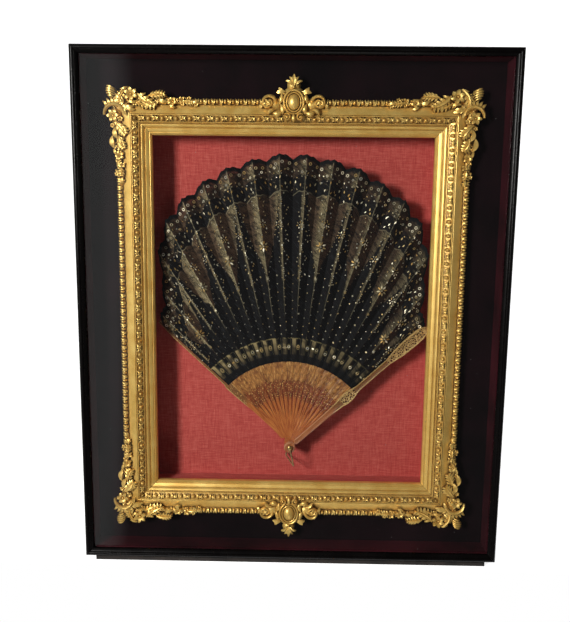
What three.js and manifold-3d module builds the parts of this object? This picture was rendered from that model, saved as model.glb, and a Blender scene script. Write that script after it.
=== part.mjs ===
// Framed lace fan: a folding fan of horn sticks and spangled black lace, shown open in a gilt frame
// inside a glazed black case lined with velvet. Millimetres, +Z up, the front faces -Y.
// The origin is the middle of the footprint on the surface that the case stands on.
import * as THREE from 'three';
import { mergeVertices } from 'three/addons/utils/BufferGeometryUtils.js';
import Module from 'manifold-3d';

const wasm = await Module();
wasm.setup();

// Fits
const clearance = 0.3;
const mitreGap = 0.22;

// Outer case
const caseWidth = 508;
const caseHeight = 610;
const plinthHeight = 5;
const plinthInset = 13;
const plinthFront = 3;
const plinthBackInset = 4;
const mouldingWidth = 10;
const mouldingDepth = 12;
const rebateWidth = 5;
const rebateDepth = 6;
const glassThickness = 2;
const boxInset = 0.5;
const boxBoard = 8;
const linerThickness = 1.5;
const recessDepth = 27;
const velvetBoardThickness = 5;

// Gilt frame and the well behind it
const velvetSide = 37.5;
const velvetEnd = 42;
const giltShiftX = -1.9;
const giltShiftZ = -3.4;
const giltWidth = 41;
const giltEdgeWidth = 9;
const giltEdgeRise = 14;
const giltBeadRise = 13.8;
const giltBeadCentre = 22.8;
const giltBeadRadius = 3.8;
const giltFlatRise = 7;
const giltSightRise = 5.4;
const wellMargin = 6;
const wellBoard = 4;
const wellDepth = 33;
const panelThickness = 4;
const backboardThickness = 4;
const sightWidth = caseWidth - 2 * (mouldingWidth + velvetSide + giltWidth);
const sightHeight = caseHeight - 2 * (mouldingWidth + velvetEnd + giltWidth);

// Carved ornaments on the gilt frame
const ornamentReach = 13.5;
const ornamentArm = 112;
const ornamentRise = 19;
const rosetteRadius = 13;
const cartoucheHalfWidth = 39;
const cartoucheHeight = 54;
const cabochonHalfWidth = 8.5;
const cabochonHalfHeight = 11.5;
const scrollRadius = 9.5;
const cartoucheReach = 28;
const ornamentFloor = 3;

// Hardware on the back
const buttonLength = 30;
const buttonWidth = 8;
const buttonThickness = 1.5;
const buttonScrewRadius = 1.2;
const buttonScrewLength = 6;
const buttonHeadRadius = 3;
const buttonHeadRise = 0.8;
const buttonFromEnd = 115;
const strapLength = 24;
const strapWidth = 6;
const strapThickness = 1;
const ringBar = 1.8;
const ringWidth = 10.4;
const ringDrop = 11;
const knuckleWall = 0.9;
const hangerFromTop = 175;

// Fan
const inwardSticks = 17;
const fanSpread = 47;
const pivotAboveSight = 42;
const stickThickness = 0.85;
const stickNeckHalf = 2.2;
const stickWaistHalf = 1.7;
const stickShoulderHalf = 5.1;
const guardThickness = 2.2;
const guardTipRoom = 4.75;
const guardNeckHalf = 2.6;
const guardWaistHalf = 3.6;
const guardBossHalf = 8;
const guardFlareHalf = 7.4;
const headRadius = 7;
const rivetRadius = 1.5;
const rivetHeadRadius = 3.2;
const rivetHeadRise = 1;
const eyeWall = 1.1;
const wireRadius = 0.8;
const padRadius = 9;
const padThickness = 2.4;
const shoulderRadius = 109;
const ribInset = 12;
const ribRootHalfWidth = 1.75;
const ribTipHalfWidth = 0.6;
const fanRadians = THREE.MathUtils.degToRad(fanSpread);
const guardLength = (sightWidth / 2 + wellMargin - guardTipRoom) / Math.sin(fanRadians);

// Lace leaf
const leafTopRoom = 18;
const leafInnerRadius = 111;
const leafThickness = 0.5;
const pleatDepth = 7;
const scallopDepth = 6;
const leafSideOverlap = 0.15;
const leafGuardRoom = 1.2;
const leafHeight = sightHeight - pivotAboveSight - leafTopRoom;
// Leaf edge: share of the spread from the middle stick, share of the way from guard length to leaf height.
const leafEdge = [
  [0, 1], [0.17, 0.985], [0.277, 0.934], [0.389, 0.882], [0.5, 0.816],
  [0.611, 0.691], [0.723, 0.507], [0.83, 0.213], [0.926, 0.051], [1.02, 0],
];

// Fan loop: how far its feet lie across and below the rivet
const loopFrontAcross = 5.5;
const loopFrontDrop = 24;
const loopBackAcross = 5;
const loopBackDrop = 19;
const loopBend = 2.5;

// Levels, measured as a depth behind the front plane of the moulding
const glassFront = rebateDepth + clearance;
const glassBack = glassFront + glassThickness;
const linerFront = glassBack + clearance;
const velvetFace = linerFront + recessDepth + clearance;
const giltBack = velvetFace - clearance;
const wellFront = giltBack + clearance;
const wellBack = wellFront + wellDepth;
const panelFace = wellBack + clearance;
const backboardFront = panelFace + panelThickness + clearance;
const caseDepth = backboardFront + backboardThickness;
const hardwareFront = caseDepth + clearance;
const knuckleBore = Math.hypot(ringBar / 2, ringBar / 2) + clearance;
const knuckleRadius = knuckleBore + knuckleWall;
const overallDepth = hardwareFront + 2 * knuckleRadius;

// Heights above the surface
const caseBase = plinthHeight;
const caseMiddle = caseBase + caseHeight / 2;
const buttonSpacing = caseHeight - 2 * buttonFromEnd;
const hangerHeight = caseBase + caseHeight - hangerFromTop;
const giltMiddle = caseMiddle + giltShiftZ;
const pivotX = giltShiftX;
const pivotZ = giltMiddle - sightHeight / 2 + pivotAboveSight;

// Fan stack, back to front, as depths
const eyeThickness = 2 * wireRadius;
const padBack = panelFace - clearance;
const padFront = padBack - padThickness;
const rivetBack = padFront - clearance;
const backEyeBack = rivetBack - rivetHeadRise - clearance;
const guardBackBack = backEyeBack - eyeThickness - clearance;
const firstStickBack = guardBackBack - guardThickness - clearance;
const stickPitch = stickThickness + clearance;
const lastStickFront = firstStickBack - (inwardSticks - 1) * stickPitch - stickThickness;
const guardFrontBack = lastStickFront - leafGuardRoom - clearance;
const guardFrontFront = guardFrontBack - guardThickness;
const frontEyeBack = guardFrontFront - clearance;
const frontEyeFront = frontEyeBack - eyeThickness;
const rivetFront = frontEyeFront - clearance - rivetHeadRise;

const bladeCount = inwardSticks + 2;
const gapAngle = (2 * fanSpread) / (bladeCount - 1);
const eyeRadius = rivetRadius + clearance + eyeWall;

const colours = {
  ebonised: [0x0d0b0a, 0.35, 0],
  glass: [0xdfe8e6, 0.05, 0],
  velvet: [0x24080c, 0.95, 0],
  gilt: [0xb8893a, 0.4, 0.8],
  red: [0xa3413f, 0.9, 0],
  board: [0x6b5238, 0.85, 0],
  brass: [0xa8873f, 0.35, 0.9],
  horn: [0xb9742a, 0.35, 0],
  lace: [0x14110f, 0.8, 0],
};

const fan = new THREE.Group();

function finish(name) {
  const [color, roughness, metalness] = colours[name];
  return new THREE.MeshStandardMaterial({ color, roughness, metalness });
}

// A depth behind the front plane as a place along Y.
function yAt(depth) {
  return depth - overallDepth / 2;
}

function add(name, geometry, colour, x = 0, y = 0, z = 0, turn = 0) {
  const mesh = new THREE.Mesh(geometry, finish(colour));
  mesh.name = name;
  mesh.position.set(x, y, z);
  mesh.rotation.y = turn;
  fan.add(mesh);
  return mesh;
}

// Geometry helpers

function signedVolume(points, faces) {
  let volume = 0;
  const [a, b, c] = [new THREE.Vector3(), new THREE.Vector3(), new THREE.Vector3()];
  for (const [i, j, k] of faces) {
    a.fromArray(points[i]);
    b.fromArray(points[j]);
    c.fromArray(points[k]);
    volume += a.dot(b.cross(c)) / 6;
  }
  return volume;
}

// A closed body from points and faces, turned to face outward.
function solid(points, faces) {
  const outward = signedVolume(points, faces) > 0;
  const geometry = new THREE.BufferGeometry();
  const index = faces.flatMap(([i, j, k]) => (outward ? [i, j, k] : [i, k, j]));
  geometry.setAttribute('position', new THREE.Float32BufferAttribute(points.flat(), 3));
  geometry.setIndex(index);
  return geometry;
}

function toManifold(geometry) {
  const bare = geometry.clone();
  bare.deleteAttribute('normal');
  bare.deleteAttribute('uv');
  const merged = mergeVertices(bare, 1e-4);
  return new wasm.Manifold(new wasm.Mesh({
    numProp: 3,
    vertProperties: new Float32Array(merged.attributes.position.array),
    triVerts: new Uint32Array(merged.index.array),
  }));
}

function fromManifold(body) {
  const mesh = body.getMesh();
  const geometry = new THREE.BufferGeometry();
  geometry.setAttribute('position', new THREE.BufferAttribute(mesh.vertProperties, 3));
  geometry.setIndex(new THREE.BufferAttribute(mesh.triVerts, 1));
  return geometry;
}

function join(geometries) {
  return geometries.map(toManifold).reduce((whole, piece) => whole.add(piece));
}

function block(width, depth, height) {
  return new THREE.BoxGeometry(width, depth, height);
}

// A cylinder along Y between two depths.
function pinAlongY(radius, fromDepth, toDepth, sides = 16) {
  const pin = new THREE.CylinderGeometry(radius, radius, Math.abs(toDepth - fromDepth), sides);
  return pin.translate(0, yAt((fromDepth + toDepth) / 2), 0);
}

// A shape drawn in X and Z, raised from its back depth towards the front.
function plate(shape, backDepth, thickness, curveSegments = 6) {
  const geometry = new THREE.ExtrudeGeometry(shape, {
    depth: thickness, bevelEnabled: false, steps: 1, curveSegments,
  });
  return geometry.rotateX(Math.PI / 2).translate(0, yAt(backDepth), 0);
}

function rectangle(width, height) {
  const shape = new THREE.Shape();
  shape.moveTo(-width / 2, -height / 2);
  shape.lineTo(width / 2, -height / 2);
  shape.lineTo(width / 2, height / 2);
  shape.lineTo(-width / 2, height / 2);
  shape.closePath();
  return shape;
}

// A rectangular ring of board around an opening.
function ringPlate(outerWidth, outerHeight, innerWidth, innerHeight, backDepth, thickness) {
  const shape = rectangle(outerWidth, outerHeight);
  shape.holes.push(rectangle(innerWidth, innerHeight));
  return plate(shape, backDepth, thickness);
}

// A moulding with mitred ends, lying along X with its outer edge at Z = 0.
// Each profile point is a distance in from the outer edge and a depth.
function mitredBar(profile, length, endGap) {
  const points = [];
  const faces = [];
  const count = profile.length;
  for (const side of [-1, 1]) {
    for (const [inward, depth] of profile) {
      points.push([side * (length / 2 - inward - endGap), depth, inward]);
    }
  }
  const outline = profile.map(([inward, depth]) => new THREE.Vector2(inward, depth));
  const clockwise = THREE.ShapeUtils.area(outline) < 0;
  for (const [a, b, c] of THREE.ShapeUtils.triangulateShape(outline, [])) {
    const [first, second] = clockwise ? [c, b] : [b, c];
    faces.push([a, first, second]);
    faces.push([count + a, count + second, count + first]);
  }
  for (let i = 0; i < count; i += 1) {
    const next = (i + 1) % count;
    faces.push([i, count + i, count + next]);
    faces.push([i, count + next, next]);
  }
  return solid(points, faces);
}

// Four mitred rails round a rectangle: bottom, top, left and right.
function rails(name, profile, width, height, centreX, centreZ, colour, endGap = mitreGap) {
  const quarter = Math.PI / 2;
  const y = yAt(0);
  add(`${name}_bottom`, mitredBar(profile, width, endGap), colour, centreX, y, centreZ - height / 2, 0);
  add(`${name}_top`, mitredBar(profile, width, endGap), colour, centreX, y, centreZ + height / 2, Math.PI);
  add(`${name}_left`, mitredBar(profile, height, endGap), colour, centreX - width / 2, y, centreZ, quarter);
  add(`${name}_right`, mitredBar(profile, height, endGap), colour, centreX + width / 2, y, centreZ, -quarter);
}

// Case

function caseMoulding() {
  const profile = [
    [0, mouldingDepth],
    [0, 4.2],
    [0.7, 1.8],
    [2.2, 0.4],
    [3.8, 0],
    [5.2, 0.5],
    [6, 1.5],
    [6.6, 1.1],
    [mouldingWidth, 3.8],
    [mouldingWidth, rebateDepth],
    [rebateWidth, rebateDepth],
    [rebateWidth, mouldingDepth],
  ];
  rails('case_rail', profile, caseWidth, caseHeight, 0, caseMiddle, 'ebonised');
}

function boxBoards() {
  const front = mouldingDepth + clearance;
  const depth = caseDepth - front;
  const y = yAt(front + depth / 2);
  const height = caseHeight - 2 * boxInset;
  const inner = caseWidth - 2 * (boxInset + boxBoard) - 2 * clearance;
  const offsetX = caseWidth / 2 - boxInset - boxBoard / 2;
  const offsetZ = height / 2 - boxBoard / 2;
  const holeEnd = caseDepth - buttonScrewLength - 1;
  const screwHole = pinAlongY(buttonScrewRadius + clearance, caseDepth + 1, holeEnd, 12);
  screwHole.translate(0, -y, 0);
  for (const [name, sideX, sideZ] of [['left', -1, 0], ['right', 1, 0], ['bottom', 0, -1], ['top', 0, 1]]) {
    let board = block(inner, depth, boxBoard);
    if (sideX) {
      const holes = [-1, 1].map((end) => screwHole.clone().translate(0, 0, end * buttonSpacing / 2));
      board = fromManifold(toManifold(block(boxBoard, depth, height)).subtract(join(holes)));
    }
    add(`box_side_${name}`, board, 'ebonised', sideX * offsetX, y, caseMiddle + sideZ * offsetZ);
  }
}

function plinth() {
  const depth = caseDepth - plinthFront - plinthBackInset;
  const height = plinthHeight - clearance;
  add('plinth_batten', block(caseWidth - 2 * plinthInset, depth, height), 'ebonised',
    0, yAt(plinthFront + depth / 2), height / 2);
}

function glassPane() {
  const width = caseWidth - 2 * (rebateWidth + clearance);
  const height = caseHeight - 2 * (rebateWidth + clearance);
  add('glass_pane', block(width, glassThickness, height), 'glass',
    0, yAt(glassFront + glassThickness / 2), caseMiddle);
}

function velvet() {
  const outer = 2 * (boxInset + boxBoard + clearance);
  const inner = outer + 2 * linerThickness;
  const liner = ringPlate(caseWidth - outer, caseHeight - outer, caseWidth - inner, caseHeight - inner,
    linerFront + recessDepth, recessDepth);
  add('velvet_liner', liner, 'velvet', 0, 0, caseMiddle);
  const opening = 2 * (wellMargin + wellBoard + clearance);
  const shape = rectangle(caseWidth - outer, caseHeight - outer);
  const hole = rectangle(sightWidth + opening, sightHeight + opening);
  shape.holes.push(new THREE.Path(hole.getPoints().map(
    (point) => new THREE.Vector2(point.x + giltShiftX, point.y + giltShiftZ))));
  add('velvet_board', plate(shape, velvetFace + velvetBoardThickness, velvetBoardThickness), 'velvet',
    0, 0, caseMiddle);
}

// Gilt frame

// Points across a gilt rail: distance in from the outer edge, rise above the velvet.
function giltSection() {
  const edge = giltEdgeWidth;
  const bead = giltBeadCentre;
  const half = giltBeadRadius;
  return [
    [0, 0],
    [0, giltEdgeRise - 5],
    [1.6, giltEdgeRise - 1],
    [edge / 2, giltEdgeRise + 0.8],
    [edge - 1.6, giltEdgeRise],
    [edge, giltEdgeRise - 1.5],
    [bead - half - 0.6, giltBeadRise - 1.2],
    [bead - half, giltBeadRise],
    [bead, giltBeadRise + 1.4],
    [bead + half, giltBeadRise],
    [bead + half + 0.6, giltBeadRise - 2.4],
    [bead + half + 2.2, giltBeadRise - 2.4],
    [bead + half + 3, giltFlatRise + 3.6],
    [bead + half + 5.4, giltFlatRise + 3],
    [bead + half + 6.4, giltFlatRise + 0.6],
    [giltWidth - 3.2, giltFlatRise],
    [giltWidth - 3, giltSightRise + 0.6],
    [giltWidth, giltSightRise],
    [giltWidth, 0],
  ];
}

const giltOuterWidth = sightWidth + 2 * giltWidth;
const giltOuterHeight = sightHeight + 2 * giltWidth;

function giltRails() {
  const profile = giltSection().map(([inward, rise]) => [inward, giltBack - rise]);
  rails('gilt_rail', profile, giltOuterWidth, giltOuterHeight, giltShiftX, giltMiddle, 'gilt');
}

// The rails' section pushed out on every side by the clearance, to cut the seats of the ornaments.
function grownSection() {
  const section = giltSection();
  const count = section.length;
  return section.map(([inward, rise], i) => {
    const before = section[(i + count - 1) % count];
    const after = section[(i + 1) % count];
    const along = [after[0] - before[0], after[1] - before[1]];
    const size = Math.hypot(...along);
    const push = clearance * 1.3;
    return [inward - (along[1] / size) * push, giltBack - rise - (along[0] / size) * push];
  });
}

// The bodies that an ornament has to clear: the grown rails and the velvet below its floor.
function ornamentSeat() {
  const quarter = Math.PI / 2;
  const bars = [
    [giltOuterWidth, 0, -giltOuterHeight / 2, 0],
    [giltOuterWidth, 0, giltOuterHeight / 2, Math.PI],
    [giltOuterHeight, -giltOuterWidth / 2, 0, quarter],
    [giltOuterHeight, giltOuterWidth / 2, 0, -quarter],
  ].map(([length, x, z, turn]) => (
    mitredBar(grownSection(), length, -clearance).rotateY(turn).translate(x, yAt(0), z)));
  const below = block(caseWidth, recessDepth, caseHeight);
  below.translate(0, yAt(giltBack - ornamentFloor + recessDepth / 2), 0);
  return join([...bars, below]);
}

// A rounded lump of carving: half sizes across, high and thick, turned in the plane of the frame.
function lump(x, z, rise, halfX, halfZ, halfRise, turn = 0) {
  const ball = new THREE.SphereGeometry(1, 8, 5);
  ball.scale(halfX, halfRise, halfZ);
  return ball.rotateY(turn).translate(x, yAt(giltBack - rise), z);
}

// A rosette on the corner with leaves and blossoms trailing along both arms.
function cornerLumps(sideX, sideZ) {
  const cornerX = giltOuterWidth / 2 + ornamentReach;
  const cornerZ = giltOuterHeight / 2 + ornamentReach;
  const lumps = [];
  const arm = ornamentArm;
  const radius = rosetteRadius;
  // Share along the arm, then shares of the rosette: how far in, half length, half width and half rise.
  const trail = [
    [0.13, 0.85, 0.81, 0.81, 0.61],
    [0.3, 0.96, 1, 0.69, 0.54],
    [0.45, 0.92, 0.92, 0.65, 0.5],
    [0.62, 1.15, 0.85, 0.54, 0.42],
    [0.78, 1.31, 0.77, 0.42, 0.38],
    [0.92, 1.35, 0.73, 0.34, 0.35],
  ];
  const place = (across, up, halfX, halfZ, halfRise) => lumps.push(
    lump(sideX * (cornerX - across), sideZ * (cornerZ - up), ornamentRise * 0.69, halfX, halfZ, halfRise));
  place(radius * 1.3, radius * 1.3, radius, radius, radius * 0.6);
  for (const [share, inward, length, width, halfRise] of trail) {
    place(arm * share, radius * inward, radius * length, radius * width, radius * halfRise);
    place(radius * inward, arm * share, radius * width, radius * length, radius * halfRise);
  }
  return lumps;
}

// An oval boss in a shield with a crown leaf, two side scrolls and two small inner scrolls.
function cartoucheLumps(sideZ) {
  const outer = giltOuterHeight / 2 + cartoucheReach;
  const across = cartoucheHalfWidth;
  const high = cartoucheHeight;
  const thick = ornamentRise;
  const lumps = [];
  const place = (x, down, halfX, halfZ, rise, halfRise, turn = 0) => lumps.push(
    lump(x, sideZ * (outer - down), thick * rise, halfX, halfZ, thick * halfRise, turn));
  place(0, high / 2, across * 0.41, high * 0.315, 0.63, 0.33);
  place(0, high / 2, cabochonHalfWidth, cabochonHalfHeight, 0.71, 0.29);
  place(0, high * 0.185, across * 0.154, high * 0.189, 0.63, 0.22);
  place(0, high * 0.278, across * 0.282, high * 0.111, 0.61, 0.2);
  place(0, high * 0.815, across * 0.231, high * 0.148, 0.8, 0.2);
  for (const side of [-1, 1]) {
    place(side * across * 0.36, high * 0.343, across * 0.167, high * 0.093, 0.61, 0.2);
    place(side * across * 0.46, high / 2, across * 0.256, high * 0.093, 0.65, 0.2);
    place(side * (across - scrollRadius), high / 2, scrollRadius, scrollRadius, 0.61, 0.265);
    place(side * across * 0.487, high * 0.704, across * 0.282, high * 0.093, 0.71, 0.2, side * sideZ * -0.35);
    place(side * across * 0.167, high * 0.898, across * 0.167, high * 0.102, 0.815, 0.225);
  }
  return lumps;
}

function ornaments() {
  const seat = ornamentSeat();
  for (const [high, sideZ] of [['top', 1], ['bottom', -1]]) {
    for (const [wide, sideX] of [['left', -1], ['right', 1]]) {
      const carving = join(cornerLumps(sideX, sideZ)).subtract(seat);
      add(`corner_ornament_${high}_${wide}`, fromManifold(carving), 'gilt', giltShiftX, 0, giltMiddle);
    }
    const carving = join(cartoucheLumps(sideZ)).subtract(seat);
    add(`cartouche_${high}`, fromManifold(carving), 'gilt', giltShiftX, 0, giltMiddle);
  }
}

// Well, panel and backboard

function well() {
  const inner = 2 * wellMargin;
  const outer = inner + 2 * wellBoard;
  const walls = ringPlate(sightWidth + outer, sightHeight + outer, sightWidth + inner, sightHeight + inner,
    wellBack, wellDepth);
  add('well_box', walls, 'red', giltShiftX, 0, giltMiddle);
  add('fan_panel', block(sightWidth + outer, panelThickness, sightHeight + outer), 'red',
    giltShiftX, yAt(panelFace + panelThickness / 2), giltMiddle);
  const margin = 2 * (boxInset + boxBoard + clearance);
  add('backboard', block(caseWidth - margin, backboardThickness, caseHeight - margin), 'board',
    0, yAt(backboardFront + backboardThickness / 2), caseMiddle);
}

// Hardware on the back

// A turn button drawn with its pivot at the origin and its arm along +X.
function turnButton() {
  const half = buttonWidth / 2;
  const arm = buttonLength - half;
  const shape = new THREE.Shape();
  shape.absarc(arm - half, 0, half, -Math.PI / 2, Math.PI / 2, false);
  shape.absarc(0, 0, half, Math.PI / 2, Math.PI * 1.5, false);
  shape.closePath();
  const back = hardwareFront + buttonThickness;
  const screw = pinAlongY(buttonScrewRadius, back - 0.2, caseDepth - buttonScrewLength, 12);
  const head = pinAlongY(buttonHeadRadius, back + buttonHeadRise, back - 0.2, 16);
  return join([plate(shape, back, buttonThickness, 8), screw, head]);
}

function turnButtons() {
  const offsetX = caseWidth / 2 - boxInset - boxBoard / 2;
  for (const [side, sign, turn] of [['left', -1, 0], ['right', 1, Math.PI]]) {
    for (const [end, up] of [['lower', -1], ['upper', 1]]) {
      add(`turn_button_${side}_${end}`, fromManifold(turnButton()), 'brass',
        sign * offsetX, 0, caseMiddle + up * buttonSpacing / 2, turn);
    }
  }
}

// A strap with a knuckle at its lower end, which holds the straight bar of the ring.
function hangerStrap() {
  const centre = hardwareFront + knuckleRadius;
  const leaf = block(strapWidth, strapThickness, strapLength);
  leaf.translate(0, yAt(hardwareFront + strapThickness / 2), strapLength / 2);
  const barrel = new THREE.CylinderGeometry(knuckleRadius, knuckleRadius, strapWidth, 16);
  barrel.rotateZ(Math.PI / 2).translate(0, yAt(centre), 0);
  const bore = new THREE.CylinderGeometry(knuckleBore, knuckleBore, strapWidth + 2, 16);
  bore.rotateZ(Math.PI / 2).translate(0, yAt(centre), 0);
  return join([leaf, barrel]).subtract(toManifold(bore));
}

// A flat D-shaped ring whose straight bar lies on the knuckle's axis.
function hangerRing() {
  const half = ringWidth / 2;
  const bar = ringBar / 2;
  const side = ringDrop - half;
  const shape = new THREE.Shape();
  shape.moveTo(-half, bar);
  shape.lineTo(-half, -side);
  shape.absarc(0, -side, half, Math.PI, Math.PI * 2, false);
  shape.lineTo(half, bar);
  shape.closePath();
  const hole = new THREE.Path();
  const inside = half - ringBar;
  hole.moveTo(-inside, -bar);
  hole.lineTo(inside, -bar);
  hole.lineTo(inside, -side);
  hole.absarc(0, -side, inside, 0, -Math.PI, true);
  hole.closePath();
  shape.holes.push(hole);
  return plate(shape, hardwareFront + knuckleRadius + bar, ringBar, 8);
}

function hangers() {
  const offsetX = caseWidth / 2 - boxInset - boxBoard / 2 - (ringWidth - boxBoard) / 2;
  for (const [name, side] of [['left', -1], ['right', 1]]) {
    add(`hanger_strap_${name}`, fromManifold(hangerStrap()), 'brass', side * offsetX, 0, hangerHeight);
    add(`hanger_ring_${name}`, hangerRing(), 'brass', side * offsetX, 0, hangerHeight);
  }
}

// Fan

function leafRadius(degrees) {
  const spread = Math.min(Math.abs(degrees) / fanSpread, leafEdge[leafEdge.length - 1][0]);
  const next = Math.max(1, leafEdge.findIndex(([at]) => at >= spread));
  const [fromSpread, fromShare] = leafEdge[next - 1];
  const [toSpread, toShare] = leafEdge[next];
  const share = fromShare + ((spread - fromSpread) / (toSpread - fromSpread)) * (toShare - fromShare);
  return THREE.MathUtils.lerp(guardLength, leafHeight, share);
}

// A blade's outline with its rivet hole: half widths by distance from the rivet.
function bladeShape(halfWidths) {
  const shape = new THREE.Shape();
  const [firstRadius, firstHalf] = halfWidths[0];
  const start = Math.atan2(firstRadius, firstHalf);
  shape.absarc(0, 0, headRadius, Math.PI - start, Math.PI * 2 + start, false);
  for (const [radius, half] of halfWidths) {
    shape.lineTo(half, radius);
  }
  for (const [radius, half] of halfWidths.slice().reverse()) {
    shape.lineTo(-half, radius);
  }
  shape.closePath();
  const hole = new THREE.Path();
  hole.absarc(0, 0, rivetRadius + clearance, 0, Math.PI * 2, true);
  shape.holes.push(hole);
  return shape;
}

function stickOutline(length) {
  const waist = stickWaistHalf;
  const wide = stickShoulderHalf;
  return [
    [headRadius * 1.43, stickNeckHalf], [shoulderRadius * 0.37, waist], [shoulderRadius * 0.57, waist],
    [shoulderRadius * 0.69, wide * 0.59], [shoulderRadius * 0.77, wide * 0.86], [shoulderRadius, wide],
    [shoulderRadius + clearance, ribRootHalfWidth], [length, ribTipHalfWidth],
  ];
}

function backGuardOutline() {
  const waist = guardWaistHalf;
  return [
    [headRadius * 1.43, guardNeckHalf], [shoulderRadius * 0.55, waist * 0.83],
    [shoulderRadius * 0.83, stickShoulderHalf * 0.9], [shoulderRadius, stickShoulderHalf],
    [shoulderRadius * 1.03, waist * 0.94], [guardLength * 0.88, waist * 0.83], [guardLength, waist / 3],
  ];
}

function frontGuardOutline() {
  const waist = guardWaistHalf;
  const boss = guardBossHalf;
  const flare = guardFlareHalf;
  return [
    [headRadius * 1.43, guardNeckHalf * 1.15], [shoulderRadius * 0.55, waist],
    [shoulderRadius * 0.77, boss * 0.69], [shoulderRadius * 0.87, boss], [shoulderRadius * 0.97, boss * 0.7],
    [shoulderRadius * 1.03, waist * 1.06], [guardLength * 0.72, waist], [guardLength * 0.79, flare * 0.84],
    [guardLength * 0.9, flare], [guardLength * 0.97, flare * 0.81], [guardLength, flare * 0.27],
  ];
}

function bladeAngle(index) {
  return -fanSpread + index * gapAngle;
}

// The depth of a blade's front face.
function bladeFront(index) {
  if (index <= 0) {
    return guardBackBack - guardThickness;
  }
  return firstStickBack - (index - 1) * stickPitch - stickThickness;
}

function blades() {
  const last = bladeCount - 1;
  for (let i = 0; i < bladeCount; i += 1) {
    const turn = THREE.MathUtils.degToRad(bladeAngle(i));
    const ribEnd = leafRadius(bladeAngle(i)) - scallopDepth - ribInset;
    let name = `stick_${String(i).padStart(2, '0')}`;
    const back = bladeFront(i) + stickThickness;
    let blade = () => plate(bladeShape(stickOutline(ribEnd)), back, stickThickness, 4);
    if (i === 0) {
      name = 'guard_back';
      blade = () => plate(bladeShape(backGuardOutline()), guardBackBack, guardThickness, 4);
    } else if (i === last) {
      name = 'guard_front';
      blade = () => plate(bladeShape(frontGuardOutline()), guardFrontBack, guardThickness, 4);
    }
    add(name, blade(), 'horn', pivotX, 0, pivotZ, turn);
  }
}

// The depth of the leaf's middle surface, with t counted in blades from the back guard.
function leafDepth(t, radius) {
  const last = bladeCount - 1;
  const lift = pleatDepth * (radius / leafHeight);
  const off = clearance + leafThickness / 2;
  const low = THREE.MathUtils.clamp(Math.floor(t), 0, last - 1);
  const share = THREE.MathUtils.clamp(t - low, 0, 1);
  const from = bladeFront(low) - off;
  if (low === last - 1) {
    const under = guardFrontBack + off;
    const small = share < 0.3 ? share / 0.3 : Math.max(0, (0.6 - share) / 0.3);
    return THREE.MathUtils.lerp(from, under, Math.min(1, share / 0.6)) - small * lift * 0.4;
  }
  const to = bladeFront(low + 1) - off;
  return THREE.MathUtils.lerp(from, to, share) - lift * (1 - Math.abs(2 * share - 1));
}

// The columns of the leaf, in blades from the back guard.
function leafColumns() {
  const last = bladeCount - 1;
  const columns = [-leafSideOverlap];
  for (let i = 0; i < last - 1; i += 1) {
    columns.push(i, i + 0.25, i + 0.5, i + 0.75);
  }
  columns.push(last - 1, last - 0.7, last - 0.4, last);
  return columns;
}

function lace() {
  const columns = leafColumns();
  const rows = [0, 0.5, 1];
  const points = [];
  const faces = [];
  for (const side of [-1, 1]) {
    for (const t of columns) {
      const degrees = bladeAngle(t);
      const share = t - Math.floor(t);
      const rise = 1 - Math.abs(2 * share - 1) ** 2;
      const outer = leafRadius(degrees) - scallopDepth * (1 - rise);
      for (const row of rows) {
        const radius = THREE.MathUtils.lerp(leafInnerRadius, outer, row);
        const angle = THREE.MathUtils.degToRad(degrees);
        const depth = leafDepth(t, radius) + (side * leafThickness) / 2;
        points.push([radius * Math.sin(angle), yAt(depth), radius * Math.cos(angle)]);
      }
    }
  }
  const wide = columns.length;
  const high = rows.length;
  const at = (side, column, row) => side * wide * high + column * high + row;
  const quad = (a, b, c, d) => faces.push([a, b, c], [a, c, d]);
  for (let column = 0; column < wide - 1; column += 1) {
    for (let row = 0; row < high - 1; row += 1) {
      quad(at(0, column, row), at(0, column + 1, row), at(0, column + 1, row + 1), at(0, column, row + 1));
      quad(at(1, column, row), at(1, column, row + 1), at(1, column + 1, row + 1), at(1, column + 1, row));
    }
    quad(at(0, column, 0), at(1, column, 0), at(1, column + 1, 0), at(0, column + 1, 0));
    const top = high - 1;
    quad(at(0, column, top), at(0, column + 1, top), at(1, column + 1, top), at(1, column, top));
  }
  for (let row = 0; row < high - 1; row += 1) {
    quad(at(0, 0, row), at(0, 0, row + 1), at(1, 0, row + 1), at(1, 0, row));
    quad(at(0, wide - 1, row), at(1, wide - 1, row), at(1, wide - 1, row + 1), at(0, wide - 1, row + 1));
  }
  add('leaf', solid(points, faces), 'lace', pivotX, 0, pivotZ);
}

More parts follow.
